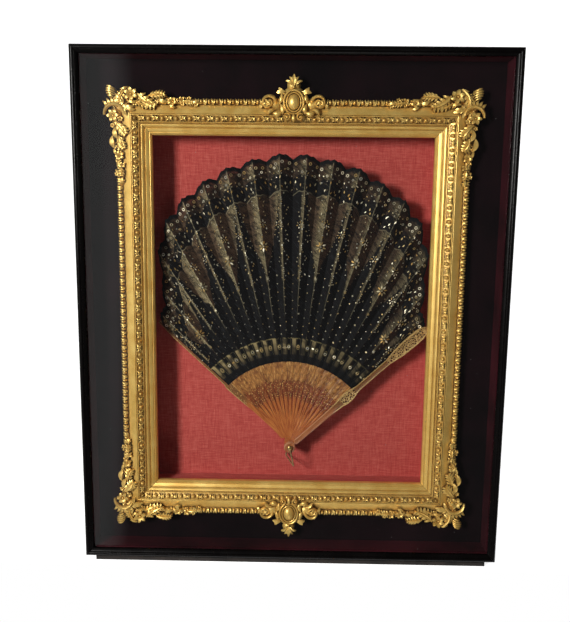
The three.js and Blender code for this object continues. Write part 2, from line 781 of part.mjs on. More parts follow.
// The rivet: a shank through the stack with a head at each end.
function rivet() {
  const profile = [
    [0, rivetFront],
    [rivetHeadRadius * 0.7, rivetFront + rivetHeadRise * 0.3],
    [rivetHeadRadius, rivetFront + rivetHeadRise],
    [rivetRadius, rivetFront + rivetHeadRise],
    [rivetRadius, rivetBack - rivetHeadRise],
    [rivetHeadRadius, rivetBack - rivetHeadRise],
    [rivetHeadRadius, rivetBack],
    [0, rivetBack],
  ].map(([radius, depth]) => new THREE.Vector2(radius, yAt(depth)));
  const points = [];
  const faces = [];
  const sides = 16;
  points.push([0, profile[0].y, 0], [0, profile[profile.length - 1].y, 0]);
  const inner = profile.slice(1, -1);
  for (const { x, y } of inner) {
    for (let i = 0; i < sides; i += 1) {
      const angle = (i / sides) * Math.PI * 2;
      points.push([x * Math.cos(angle), y, x * Math.sin(angle)]);
    }
  }
  const at = (ring, i) => 2 + ring * sides + (i % sides);
  for (let i = 0; i < sides; i += 1) {
    faces.push([0, at(0, i), at(0, i + 1)]);
    faces.push([1, at(inner.length - 1, i + 1), at(inner.length - 1, i)]);
    for (let ring = 0; ring < inner.length - 1; ring += 1) {
      faces.push([at(ring, i), at(ring + 1, i), at(ring + 1, i + 1)]);
      faces.push([at(ring, i), at(ring + 1, i + 1), at(ring, i + 1)]);
    }
  }
  add('rivet_pin', solid(points, faces), 'brass', pivotX, 0, pivotZ);
  add('support_pad', pinAlongY(padRadius, padFront, padBack, 20), 'red', pivotX, 0, pivotZ);
}

// A wire bail that hangs from both ends of the rivet and passes under the heads of the sticks.
function loop() {
  const frontEye = (frontEyeBack + frontEyeFront) / 2;
  const backEye = backEyeBack - eyeThickness / 2;
  const start = eyeRadius - 0.4;
  const front = new THREE.Vector3(loopFrontAcross, yAt(frontEye), -loopFrontDrop);
  const back = new THREE.Vector3(-loopBackAcross, yAt(backEye), -loopBackDrop);
  const towards = (a, b, distance) => a.clone().lerp(b, distance / a.distanceTo(b));
  const top = towards(new THREE.Vector3(0, yAt(frontEye), 0), front, start);
  const end = towards(new THREE.Vector3(0, yAt(backEye), 0), back, start);
  const corner = loopBend;
  const path = new THREE.CurvePath();
  path.add(new THREE.LineCurve3(top, towards(front, top, corner)));
  path.add(new THREE.QuadraticBezierCurve3(towards(front, top, corner), front, towards(front, back, corner)));
  path.add(new THREE.LineCurve3(towards(front, back, corner), towards(back, front, corner)));
  path.add(new THREE.QuadraticBezierCurve3(towards(back, front, corner), back, towards(back, end, corner)));
  path.add(new THREE.LineCurve3(towards(back, end, corner), end));
  const section = new THREE.Shape();
  section.absarc(0, 0, wireRadius, 0, Math.PI * 2, false);
  const wire = new THREE.ExtrudeGeometry(section, { steps: 26, extrudePath: path, curveSegments: 3 });
  const ring = new THREE.Shape();
  ring.absarc(0, 0, eyeRadius, 0, Math.PI * 2, false);
  const hole = new THREE.Path();
  hole.absarc(0, 0, rivetRadius + clearance, 0, Math.PI * 2, true);
  ring.holes.push(hole);
  const eyes = [frontEyeBack, backEyeBack].map((depth) => plate(ring, depth, eyeThickness, 6));
  add('loop', fromManifold(join([wire, ...eyes])), 'brass', pivotX, 0, pivotZ);
}

caseMoulding();
boxBoards();
plinth();
glassPane();
velvet();
giltRails();
ornaments();
well();
turnButtons();
hangers();
blades();
lace();
rivet();
loop();

export default fan;
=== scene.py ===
import math
import random

import bmesh
import bpy
import numpy as np
from mathutils import Matrix, Vector


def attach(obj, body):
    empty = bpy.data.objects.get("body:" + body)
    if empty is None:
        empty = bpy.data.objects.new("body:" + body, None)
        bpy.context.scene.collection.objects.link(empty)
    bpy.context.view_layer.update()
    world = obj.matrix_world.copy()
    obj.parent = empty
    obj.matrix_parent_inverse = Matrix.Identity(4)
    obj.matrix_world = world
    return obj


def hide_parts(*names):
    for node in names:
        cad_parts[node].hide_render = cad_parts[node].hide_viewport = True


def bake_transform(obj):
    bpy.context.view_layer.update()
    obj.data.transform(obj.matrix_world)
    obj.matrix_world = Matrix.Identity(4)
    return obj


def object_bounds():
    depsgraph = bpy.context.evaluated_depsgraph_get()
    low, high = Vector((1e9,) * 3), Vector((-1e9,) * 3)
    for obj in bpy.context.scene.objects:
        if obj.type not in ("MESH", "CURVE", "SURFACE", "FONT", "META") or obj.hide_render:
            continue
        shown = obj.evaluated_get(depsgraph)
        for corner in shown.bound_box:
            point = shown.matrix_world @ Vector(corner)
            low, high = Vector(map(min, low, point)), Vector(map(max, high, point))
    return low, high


# The framed lace fan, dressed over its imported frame. Lengths here are millimetres unless a name says
# otherwise, +Z is up and the front faces -Y. A depth is measured back from the front of the moulding.
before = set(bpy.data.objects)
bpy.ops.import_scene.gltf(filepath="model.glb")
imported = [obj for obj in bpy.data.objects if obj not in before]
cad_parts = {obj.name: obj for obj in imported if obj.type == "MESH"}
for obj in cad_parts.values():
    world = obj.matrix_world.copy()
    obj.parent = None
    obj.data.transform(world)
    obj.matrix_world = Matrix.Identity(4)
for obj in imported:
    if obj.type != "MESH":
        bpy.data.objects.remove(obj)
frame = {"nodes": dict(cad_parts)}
nodes = frame["nodes"]
cad_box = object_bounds()
random.seed(7)
MM = 0.001

# Case
CASE_WIDTH = 508
CASE_HEIGHT = 610
CASE_MIDDLE = 310
MOULDING_WIDTH = 10
MOULDING_DEPTH = 12
REBATE_WIDTH = 5
REBATE_DEPTH = 6
MITRE_GAP = 0.22

# Gilt frame
GILT_X = -1.9
GILT_Z = 306.6
GILT_OUTER_WIDTH = 413
GILT_OUTER_HEIGHT = 506
GILT_WIDTH = 41
GILT_BACK = 35.6
BEAD_CENTRE = 22.8
EDGE_PITCH = 9.2
EDGE_END = 16
BEAD_PITCH = 16.2
PEARL_PITCH = 3.1
PEARL_END = 27.9
# How far outside the gilt frame's edge each carving's own zero lies
CORNER_REACH = 13.5
SHIELD_REACH = 28

# Fan
PIVOT_X = -1.9
PIVOT_Z = 136.6
STICKS = 17
GORES = STICKS + 1
SPREAD = 47
GAP = 2 * SPREAD / GORES
GUARD_LENGTH = 228
LEAF_HEIGHT = 364
LEAF_INNER = 108.3
LEAF_CLEARANCE = 0.55
DARK_BAND = 43
DARK_RIM = 5.2
PLEAT_DEPTH = 10.5
SCALLOP = 6
SHOULDER = 109
FIRST_STICK_BACK = 60.5
STICK_THICKNESS = 0.85
HEAD_RADIUS = 7
STICK_PITCH = 1.15
GUARD_THICKNESS = 2.2
GUARD_BACK_FRONT = 60.8
GUARD_FRONT_BACK = 39.75
BACK_GUARD = [
    (10, 4.6), (18, 3.8), (30, 3.1), (60, 3.2), (70, 3.8), (90, 4.8), (SHOULDER, 5), (SHOULDER + 3, 3.4),
    (GUARD_LENGTH * 0.88, 3), (GUARD_LENGTH, 1.2),
]
FRONT_GUARD = [
    (10, 3), (60, 3.7), (80, 4.3), (86, 5.0), (92, 6.4), (98, 6.9), (104, 6.2), (109, 4.6), (114, 3.3),
    (130, 3.1), (GUARD_LENGTH * 0.72, 3.3), (GUARD_LENGTH * 0.75, 4.4), (GUARD_LENGTH * 0.79, 6.0),
    (GUARD_LENGTH * 0.84, 6.9), (GUARD_LENGTH * 0.9, 7.4), (GUARD_LENGTH * 0.95, 6.8),
    (GUARD_LENGTH * 0.98, 5), (GUARD_LENGTH, 2),
]
LEAF_SPREAD = [0, 0.17, 0.277, 0.389, 0.5, 0.611, 0.723, 0.83, 0.926, 1.02]
LEAF_SHARE = [1, 0.985, 0.934, 0.882, 0.816, 0.691, 0.507, 0.213, 0.051, 0]
# Gores whose middle carries a gauze panel, where it starts between hem and dark band, and how it opens
PANEL_GORES = [1, 3, 5, 7, 10, 12, 14, 16]
PANEL_START = 0.52
PANEL_FLARE = 1.6
PANEL_WIDTH = 0.9

# Camera: focal length and picture height in pixels, place in metres, and yaw, pitch and roll in degrees
FOCAL_LENGTH = 712
PICTURE_HEIGHT = 622
CAMERA_PLACE = (0.0030, -0.8634, 0.4467)
CAMERA_ANGLES = (-0.84, -8.97, 0.63)


def y_at(depth):
    return cad_box[0][1] / MM + depth


class Wire:
    """A value that flows between nodes. Arithmetic on it adds Math nodes, and | takes the larger of two."""

    def __init__(self, nodes, socket):
        self.nodes = nodes
        self.socket = socket

    def __add__(self, other):
        return self.nodes.math("ADD", self, other)

    def __sub__(self, other):
        return self.nodes.math("SUBTRACT", self, other)

    def __rsub__(self, other):
        return self.nodes.math("SUBTRACT", other, self)

    def __mul__(self, other):
        return self.nodes.math("MULTIPLY", self, other)

    def __pow__(self, other):
        return self.nodes.math("POWER", self, other)

    def __or__(self, other):
        return self.nodes.math("MAXIMUM", self, other)

    def __abs__(self):
        return self.nodes.math("ABSOLUTE", self)

    def step(self, low, high):
        """0 below low, 1 above high and smooth between; low may be the larger, to turn it round."""
        inputs = {"Value": self, "From Min": low, "From Max": high}
        return self.nodes.out("MapRange", inputs, interpolation_type="SMOOTHSTEP")

    def band(self, low, high, soft):
        """1 from low to high, with soft ends."""
        return self.step(low - soft, low + soft) * self.step(high + soft, high - soft)


class Nodes:
    """The node tree of one material or world, with short calls for the nodes used here."""

    def __init__(self, name, kind="materials"):
        self.owner = getattr(bpy.data, kind).new(name)
        self.owner.use_nodes = True
        self.tree = self.owner.node_tree

    def feed(self, socket, value):
        if isinstance(value, Wire):
            self.tree.links.new(value.socket, socket)
        else:
            socket.default_value = value

    def out(self, kind, inputs=(), output=0, **settings):
        """Adds a node, feeds its inputs and gives one of its outputs."""
        node = self.tree.nodes.new("ShaderNode" + kind)
        for name, value in settings.items():
            setattr(node, name, value)
        for name, value in dict(inputs).items():
            self.feed(node.inputs[name], value)
        return Wire(self, node.outputs[output])

    def set(self, **values):
        """Feeds the material's shader; an input's name has _ for each space."""
        shader = self.tree.nodes["Principled BSDF"]
        for name, value in values.items():
            self.feed(shader.inputs[name.replace("_", " ")], value)

    def math(self, operation, *values):
        return self.out("Math", dict(enumerate(values)), operation=operation)

    def mix(self, factor, a, b):
        return self.out("Mix", {0: factor, 6: a, 7: b}, 2, data_type="RGBA")

    def ramp(self, value, stops):
        colours = self.out("ValToRGB", {0: value})
        elements = colours.socket.node.color_ramp.elements
        while len(elements) < len(stops):
            elements.new(0.5)
        for element, (place, colour) in zip(elements, stops):
            element.position = place
            element.color = colour
        return colours

    def scaled(self, vector, scale):
        return self.out("Mapping", {"Vector": vector, "Scale": scale})

    def place(self, scale=(1, 1, 1)):
        """Object coordinates in metres times a scale."""
        return self.scaled(self.out("TexCoord", output="Object"), scale)

    def noise(self, scale, detail=3.0, roughness=0.5, vector=None):
        inputs = {"Vector": vector or self.place(), "Scale": scale, "Detail": detail, "Roughness": roughness}
        return self.out("TexNoise", inputs, "Fac")

    def cells(self, scale, vector=None, feature="F1"):
        inputs = {"Vector": vector or self.place(), "Scale": scale}
        return self.out("TexVoronoi", inputs, "Distance", feature=feature)

    def value(self, name):
        return self.out("Attribute", output="Fac", attribute_name=name)

    def bump(self, height, strength, distance_mm):
        inputs = {"Height": height, "Strength": strength, "Distance": distance_mm * MM}
        self.set(Normal=self.out("Bump", inputs))


def rgb(red, green, blue):
    """A colour given as it shows on a screen, 0 to 255, as linear light."""
    parts = [channel / 255 for channel in (red, green, blue)]
    linear = [((part + 0.055) / 1.055) ** 2.4 if part > 0.04 else part / 12.92 for part in parts]
    return (*linear, 1.0)


# Materials

def lacquer():
    wires = Nodes("black_lacquer")
    grain = wires.noise(14, 4, 0.6, wires.place((1, 1, 0.12)))
    wear = wires.noise(55, 5, 0.65)
    wires.set(
        Base_Color=wires.ramp(grain, [(0.3, rgb(4, 3, 3)), (0.75, rgb(13, 11, 11))]),
        Roughness=wear * 0.25 + 0.14,
        Specular_IOR_Level=0.1,
    )
    wires.bump(wear, 0.06, 0.2)
    return wires.owner


def box_wood():
    wires = Nodes("black_stained_wood")
    grain = wires.noise(30, 6, 0.65, wires.place((1, 1, 0.08)))
    wires.set(
        Base_Color=wires.ramp(grain, [(0.35, rgb(18, 16, 15)), (0.7, rgb(44, 37, 33))]),
        Roughness=grain * 0.25 + 0.42,
        Specular_IOR_Level=0.2,
    )
    wires.bump(grain, 0.3, 0.4)
    return wires.owner


def glass():
    """Clear, a little mirroring at a slant, with a faint film and a few specks of dust."""
    wires = Nodes("clear_glass")
    haze = wires.noise(5, 4, 0.6, wires.place((1, 1, 0.5)))
    dust = wires.cells(42).step(0.03, 0.014)
    soil = dust * 0.5 + haze.step(0.45, 0.8) * 0.015
    shine = wires.out("LayerWeight", {"Blend": 0.5}, "Facing") ** 5.0 * 0.965 + 0.035
    clear = wires.out("BsdfTransparent", {"Color": (0.97, 0.975, 0.972, 1)})
    mirror = wires.out("BsdfGlossy", {"Color": (1, 1, 1, 1), "Roughness": 0.0})
    film = wires.out("BsdfDiffuse", {"Color": rgb(190, 190, 186)})
    clean = wires.out("MixShader", {0: shine, 1: clear, 2: mirror})
    soiled = wires.out("MixShader", {0: soil, 1: clean, 2: film})
    wires.feed(wires.tree.nodes["Material Output"].inputs["Surface"], soiled)
    wires.tree.nodes.remove(wires.tree.nodes["Principled BSDF"])
    return wires.owner


def velvet(name, dark, light):
    wires = Nodes(name)
    pile = wires.noise(900, 2, 0.6)
    crush = wires.noise(11, 4, 0.6)
    wires.set(
        Base_Color=wires.ramp(crush, [(0.35, rgb(*dark)), (0.7, rgb(*light))]),
        Roughness=0.9,
        Sheen_Weight=0.12,
        Sheen_Roughness=0.3,
        Sheen_Tint=rgb(150, 34, 54),
        Specular_IOR_Level=0.08,
    )
    wires.bump(crush * 2.0 + pile, 0.4, 0.5)
    return wires.owner


def gilt():
    """Worn gold leaf with a brown patina in its hollows, and painted shade that darkens the carving further
    where it is deep and close.
    """
    wires = Nodes("gilt")
    close = wires.out("AmbientOcclusion", {"Distance": 4 * MM}, "AO", samples=6)
    patch = wires.noise(60, 4, 0.6)
    fine = wires.noise(700, 3, 0.6)
    leaf = wires.ramp(patch, [(0.3, rgb(230, 182, 90)), (0.7, rgb(248, 212, 124))])
    # Painted shade from ambient occlusion: brown in the crevices and near black in the deepest, over the
    # gilt's real patina.
    shade = close.step(0.24, 0.74)
    colour = wires.mix(shade, rgb(146, 94, 34), leaf)
    wires.set(
        Base_Color=wires.mix(close.step(0.4, 0.12), colour, rgb(54, 27, 8)),
        Metallic=shade * 0.25 + 0.3,
        Roughness=patch * 0.14 + 0.32,
    )
    wires.bump(fine, 0.15, 0.15)
    return wires.owner


def red_cloth():
    wires = Nodes("red_slub_cloth")
    warp = wires.noise(1100, 1, 0.5, wires.place((1, 0.4, 0.06)))
    weft = wires.noise(1100, 1, 0.5, wires.place((0.06, 0.4, 1)))
    slub = wires.noise(500, 3, 0.6, wires.place((0.25, 1, 1)))
    age = wires.noise(6, 3, 0.6)
    thread = slub * 0.3 + (warp + weft) * 0.4
    base = wires.ramp(thread, [(0.4, rgb(162, 61, 57)), (0.55, rgb(184, 79, 73)), (0.72, rgb(202, 104, 94))])
    wires.set(
        Base_Color=wires.mix(age * 0.35, base, rgb(176, 70, 62)),
        Roughness=0.92,
        Sheen_Weight=0.2,
        Sheen_Tint=rgb(235, 150, 140),
        Specular_IOR_Level=0.2,
    )
    wires.bump(thread, 0.5, 0.4)
    return wires.owner


def brown_board():
    wires = Nodes("aged_board")
    blotch = wires.noise(9, 5, 0.65)
    fibre = wires.noise(160, 4, 0.6, wires.place((1, 1, 0.15)))
    stains = [(0.3, rgb(92, 68, 44)), (0.5, rgb(124, 96, 64)), (0.75, rgb(142, 112, 78))]
    wires.set(
        Base_Color=wires.ramp(blotch, stains),
        Roughness=fibre * 0.2 + 0.65,
    )
    wires.bump(fibre, 0.25, 0.3)
    return wires.owner


def brass(name="aged_brass", light=(198, 160, 84), dark=(96, 70, 34), metal=1.0):
    wires = Nodes(name)
    tarnish = wires.noise(260, 5, 0.6)
    wires.set(
        Base_Color=wires.ramp(tarnish, [(0.35, rgb(*dark)), (0.62, rgb(*light))]),
        Metallic=metal,
        Roughness=tarnish * 0.3 + 0.2,
    )
    wires.bump(tarnish, 0.1, 0.1)
    return wires.owner


def blade_spot(wires):
    """A point on a blade in millimetres, shifted on from blade to blade so that no two share a pattern."""
    across = wires.value("tint") * 60.0 + wires.value("across")
    return wires.out("CombineXYZ", {"X": across, "Y": wires.value("along")})


def amber_horn(wires, spot):
    """Streaked amber with painted shade along its edges, where the blades overlap, and the streaks on their
    own.
    """
    streak = wires.noise(0.42, 4, 0.65, wires.scaled(spot, (3.2, 0.12, 1)))
    cloud = wires.noise(0.06, 3, 0.6, spot)
    tones = [(0.34, rgb(98, 34, 14)), (0.46, rgb(160, 82, 32)), (0.66, rgb(212, 144, 74))]
    amber = wires.mix(cloud * 0.6, wires.ramp(streak, tones), rgb(168, 88, 36))
    # Painted shade: each blade darkens toward its edges, to part it from the blades it overlaps.
    rim = wires.value("share").step(0.45, 0.95)
    return wires.mix(rim * 0.7, amber, rgb(78, 30, 14)), streak


def stick_horn():
    """Sticks: plain amber fingers, a pierced and dotted belt, and a band of gilt fuzz below the leaf."""
    wires = Nodes("horn_sticks")
    spot = blade_spot(wires)
    amber, streak = amber_horn(wires, spot)
    along = (wires.noise(0.09, 2, 0.5, spot) - 0.5) * 16.0 + wires.value("along")
    belt = along.band(62, 86, 5)
    band = along.band(84, 130, 5)
    fuzz = wires.noise(0.5, 4, 0.7, wires.scaled(spot, (1.1, 0.2, 1)))
    cloud = wires.noise(0.16, 2, 0.5, spot)
    tawny = wires.ramp(cloud, [(0.35, rgb(124, 76, 34)), (0.65, rgb(182, 128, 66))])
    colour = wires.mix(band * 0.9, amber, tawny)
    colour = wires.mix(belt * 0.6, colour, rgb(106, 44, 24))
    dark = fuzz.step(0.5, 0.38) * (band * 0.75 | belt)
    colour = wires.mix(dark * 0.8, colour, rgb(62, 30, 15))
    light = fuzz.step(0.54, 0.66) * band
    dots = wires.cells(0.5, spot).step(0.36, 0.2) * belt
    gold = dots | light * 0.9
    wires.set(
        Base_Color=wires.mix(gold, colour, rgb(216, 172, 104)),
        Metallic=gold * 0.2,
        Roughness=streak * 0.2 + 0.28,
        Subsurface_Weight=0.12,
        Subsurface_Radius=(0.004, 0.0015, 0.0005),
    )
    aside = wires.out("Mapping", {"Vector": spot, "Location": (3, 7, 0)})
    hole = wires.cells(0.5, aside).step(0.36, 0.26)
    inside = abs(wires.value("share")).step(0.9, 0.84)
    wires.set(Alpha=1.0 - hole * belt * inside)
    wires.bump(fuzz + streak, 0.6, 0.6)
    return wires.owner


def guard_horn(name, carved):
    """A guard: amber below, then gilt on dark horn. A carved one is netted in its two broad parts."""
    wires = Nodes(name)
    spot = blade_spot(wires)
    along = wires.value("along")
    amber, streak = amber_horn(wires, spot)
    side = abs(wires.value("share"))
    gilded = along.step(66, 84)
    mottle = wires.noise(0.5, 4, 0.7, spot)
    worn = wires.ramp(mottle, [(0.35, rgb(74, 44, 22)), (0.6, rgb(128, 88, 46))])
    gold = wires.ramp(mottle, [(0.35, rgb(170, 128, 70)), (0.65, rgb(232, 198, 132))])
    edge = side.step(0.66, 0.84)
    if carved:
        carving = along.band(88, 110, 1.5) | along.band(164, 226, 2)
        ribs = wires.cells(0.36, spot, "DISTANCE_TO_EDGE")
        raised = ribs.step(0.16, 0.08) * carving
        hollow = ribs.step(0.16, 0.24) * carving * side.step(0.8, 0.7)
        # Painted highlight: a pale line along one edge of the carved guard, where the window light catches
        # it.
        lip = wires.value("share").step(-0.6, -0.85) * 0.6
        amber = wires.mix(lip, wires.mix(0.5, amber, rgb(146, 92, 62)), rgb(206, 152, 112))
    else:
        raised = wires.cells(0.42, spot).step(0.34, 0.2) * along.band(62, 108, 4)
        hollow = 0.0
    bright = (edge | raised) * gilded
    colour = wires.mix(gilded * 0.85, amber, worn)
    colour = wires.mix(hollow, colour, rgb(26, 14, 10))
    wires.set(
        Base_Color=wires.mix(bright, colour, gold),
        Metallic=bright * 0.35,
        Roughness=streak * 0.2 + 0.28,
        Alpha=1.0 - hollow * 0.6,
    )
    wires.bump(bright * 2.0 + streak, 0.6, 0.6)
    return wires.owner


def net_thread(wires, across, radius):
    """A diagonal net of fine thread."""
    plus = wires.math("SINE", (across + radius) * 4.2)
    minus = wires.math("SINE", (across - radius) * 4.2)
    return (abs(plus) | abs(minus)).step(0.55, 0.8)


def gauze_areas(wires, spot, local, width, edge):
    """Panels that open upward, a strip before each ridge, and parts of the two outer bands."""
    reach = wires.value("reach")
    rise = (reach - PANEL_START) * (1 / (1 - PANEL_START)) | 0.0
    wide = (1.0 - (1.0 - wires.math("MINIMUM", rise, 1.0)) ** PANEL_FLARE) * PANEL_WIDTH
    wander = wires.noise(0.13, 2, 0.5, spot)
    inside = (wide - wires.value("panel")) * width + (wander - 0.5) * 5.0
    below_band = edge.band(42, 400, 1.0)
    panel = inside.step(0.0, 1.2) * below_band
    strip = local.band(0.38, 0.52, 0.03) * reach.band(0.5, 1.0, 0.02) * below_band
    gauze = (panel | strip * 0.7) * (1.0 - wander.band(0.47, 0.52, 0.012) * 0.75)
    flower = wires.noise(0.2, 3, 0.6, spot).step(0.44, 0.54)
    border = edge.band(DARK_RIM, 23, 1.2) * (flower * 0.6 + 0.2)
    belt = edge.band(24, 42, 1.5) * wires.noise(0.24, 3, 0.6, spot).step(0.57, 0.64)
    return gauze | border | belt * 0.35


def gauze_colour(wires, spot, gore, local, before_ridge):
    """Tulle with a painted highlight on a strip before each ridge, dimmer painted light on the rest of that
    side and painted shade past the ridge, and its weave.
    """
    reed = wires.noise(0.9, 3, 0.6, wires.scaled(spot, (1, 0.05, 1)))
    weave = reed * 0.5 + wires.noise(0.12, 4, 0.65, spot) * 0.5
    # Painted light and shade: lit, dim and shaded copies of the tulle's colour stand in for how the window
    # lights each pleat.
    whole = wires.math("FLOOR", gore)
    strip = wires.out("TexWhiteNoise", {"W": whole}, "Value", noise_dimensions="1D") * 8.0 + 2.5
    painted_ridge_light = before_ridge.step(strip * 1.4, strip * 0.4) * before_ridge.step(-0.2, 0.2)
    lit = wires.ramp(weave, [(0.38, rgb(74, 66, 49)), (0.5, rgb(116, 105, 79)), (0.62, rgb(156, 143, 110))])
    dusk = wires.ramp(weave, [(0.38, rgb(34, 27, 20)), (0.62, rgb(96, 77, 58))])
    shaded = wires.ramp(weave, [(0.38, rgb(27, 20, 16)), (0.62, rgb(74, 57, 43))])
    return wires.mix(local.step(0.49, 0.53), wires.mix(painted_ridge_light, dusk, lit), shaded), weave


def net_colour(wires, spot):
    """Near black, with short dashes of painted sheen where the thread would shine."""
    black = wires.ramp(wires.noise(0.5, 4, 0.6, spot), [(0.35, rgb(3, 3, 4)), (0.75, rgb(13, 13, 16))])
    painted_thread_sheen = wires.noise(0.8, 2, 0.5, wires.scaled(spot, (1, 0.12, 1)))
    return wires.mix(painted_thread_sheen.step(0.58, 0.72) * 0.35, black, rgb(66, 70, 76))


def hem_marks(wires, colour, spot, radius, edge, local, width, broken):
    """Above the hem each gore has a pale bar before its ridge and a ring in the dark cell after it."""
    cell = radius.band(118, 138.5, 0.6)
    fade = wires.noise(0.1, 1, 0.5, spot).step(0.3, 0.6)
    bar = local.band(0.14, 0.5, 0.03) * cell * (fade * 0.8 + 0.15)
    pale = wires.mix(radius.step(118, 138), rgb(74, 64, 45), rgb(138, 122, 86))
    rails = (local.band(0.56, 0.6, 0.015) | local.band(0.95, 0.99, 0.015)) * cell
    lip = edge.band(42.2, 43.2, 0.3) * local.step(0.9, 0.6)
    sideways = (local - 0.77) * width
    up = (radius - 127.5) * 0.6
    ring = ((sideways * sideways + up * up) ** 0.5).band(1.5, 2.1, 0.2) * cell
    line = radius.band(137.8, 139.2, 0.4) * broken
    colour = wires.mix(bar, colour, pale)
    colour = wires.mix(rails * 0.5, colour, rgb(98, 90, 62))
    colour = wires.mix(lip * 0.5, colour, rgb(146, 138, 110))
    return wires.mix((ring | line) * 0.5, colour, rgb(168, 152, 104)), cell


def lace():
    """Black net and lace with gauze, laid out by gore number, distance from the rivet and from the edge."""
    wires = Nodes("spangled_lace")
    gore = wires.value("gore")
    radius = wires.value("radius")
    edge = wires.value("edge")
    width = radius * math.radians(GAP)
    across = gore * width
    spot = wires.out("CombineXYZ", {"X": across, "Y": radius})
    local = wires.math("FRACT", gore)
    before_ridge = (0.5 - local) * width
    thread = net_thread(wires, across, radius)
    sheer = gauze_areas(wires, spot, local, width, edge)
    tulle, weave = gauze_colour(wires, spot, gore, local, before_ridge)
    colour = wires.mix(sheer, net_colour(wires, spot), tulle)

    # A broken pale line along each ridge, a painted highlight where the fold catches the light
    broken = wires.noise(0.25, 2, 0.6, spot).step(0.42, 0.6)
    painted_ridge_highlight = before_ridge.band(0.1, 0.9, 0.25) * radius.step(160, 200) * (broken * 0.4 + 0.2)
    colour = wires.mix(painted_ridge_highlight * edge.step(3, 5), colour, rgb(158, 148, 116))
    colour, cell = hem_marks(wires, colour, spot, radius, edge, local, width, broken)
    # Painted shade: the leaf darkens toward the right, away from the window light
    tone = gore * -0.062 + 1.5
    colour = wires.out("HueSaturation", {"Color": colour, "Value": tone}, "Color")

    solid = radius.step(118.5, 117.5) | edge.step(DARK_RIM, DARK_RIM - 1) | cell
    see = (1.0 - thread) * (sheer * 0.08 + 0.06) + sheer * 0.05
    wires.set(
        Base_Color=colour,
        Roughness=0.7,
        Sheen_Weight=0.04,
        Specular_IOR_Level=0.15,
        Alpha=1.0 - see * (1.0 - solid),
    )
    wires.bump(thread * 0.4 + weave, 0.5, 0.4)
    return wires.owner


def spangle_metal():
    wires = Nodes("gilt_spangles")
    # The near-white top of the scale is a painted glint.
    tones = [
        (0.0, rgb(150, 108, 46)), (0.3, rgb(176, 144, 82)), (0.6, rgb(160, 152, 124)),
        (0.84, rgb(170, 168, 158)), (0.9, rgb(250, 240, 210)),
    ]
    wires.set(
        Base_Color=wires.ramp(wires.value("tint"), tones),
        Metallic=0.5,
        Roughness=wires.noise(300) * 0.3 + 0.25,
    )
    return wires.owner


def pale_floor():
    wires = Nodes("pale_floor")
    cast = wires.noise(3, 2)
    wires.set(
        Base_Color=wires.ramp(cast, [(0.0, (0.86, 0.86, 0.86, 1)), (1.0, (0.9, 0.9, 0.9, 1))]),
        Roughness=0.9,
        Emission_Color=(1, 1, 1, 1),
        Emission_Strength=0.85,
    )
    return wires.owner


# Mesh building

def unit(vector):
    """A vector in the same direction, of length 1."""
    return vector / np.linalg.norm(vector)


def round_angles(sides):
    return np.arange(sides) / sides * 2 * math.pi


def ring_faces(count, sides, closed=False):
    """Quads between rings of points that follow one another, and from the last to the first when closed."""
    faces = []
    for row in range(count if closed else count - 1):
        low, high = row * sides, (row + 1) % count * sides
        for side in range(sides):
            after = (side + 1) % sides
            faces.append((low + side, low + after, high + after, high + side))
    return faces


def capped_faces(count, sides):
    """Quads between rings, and a face over each end."""
    first = tuple(range(sides))[::-1]
    last = tuple(range((count - 1) * sides, count * sides))
    return [*ring_faces(count, sides), first, last]


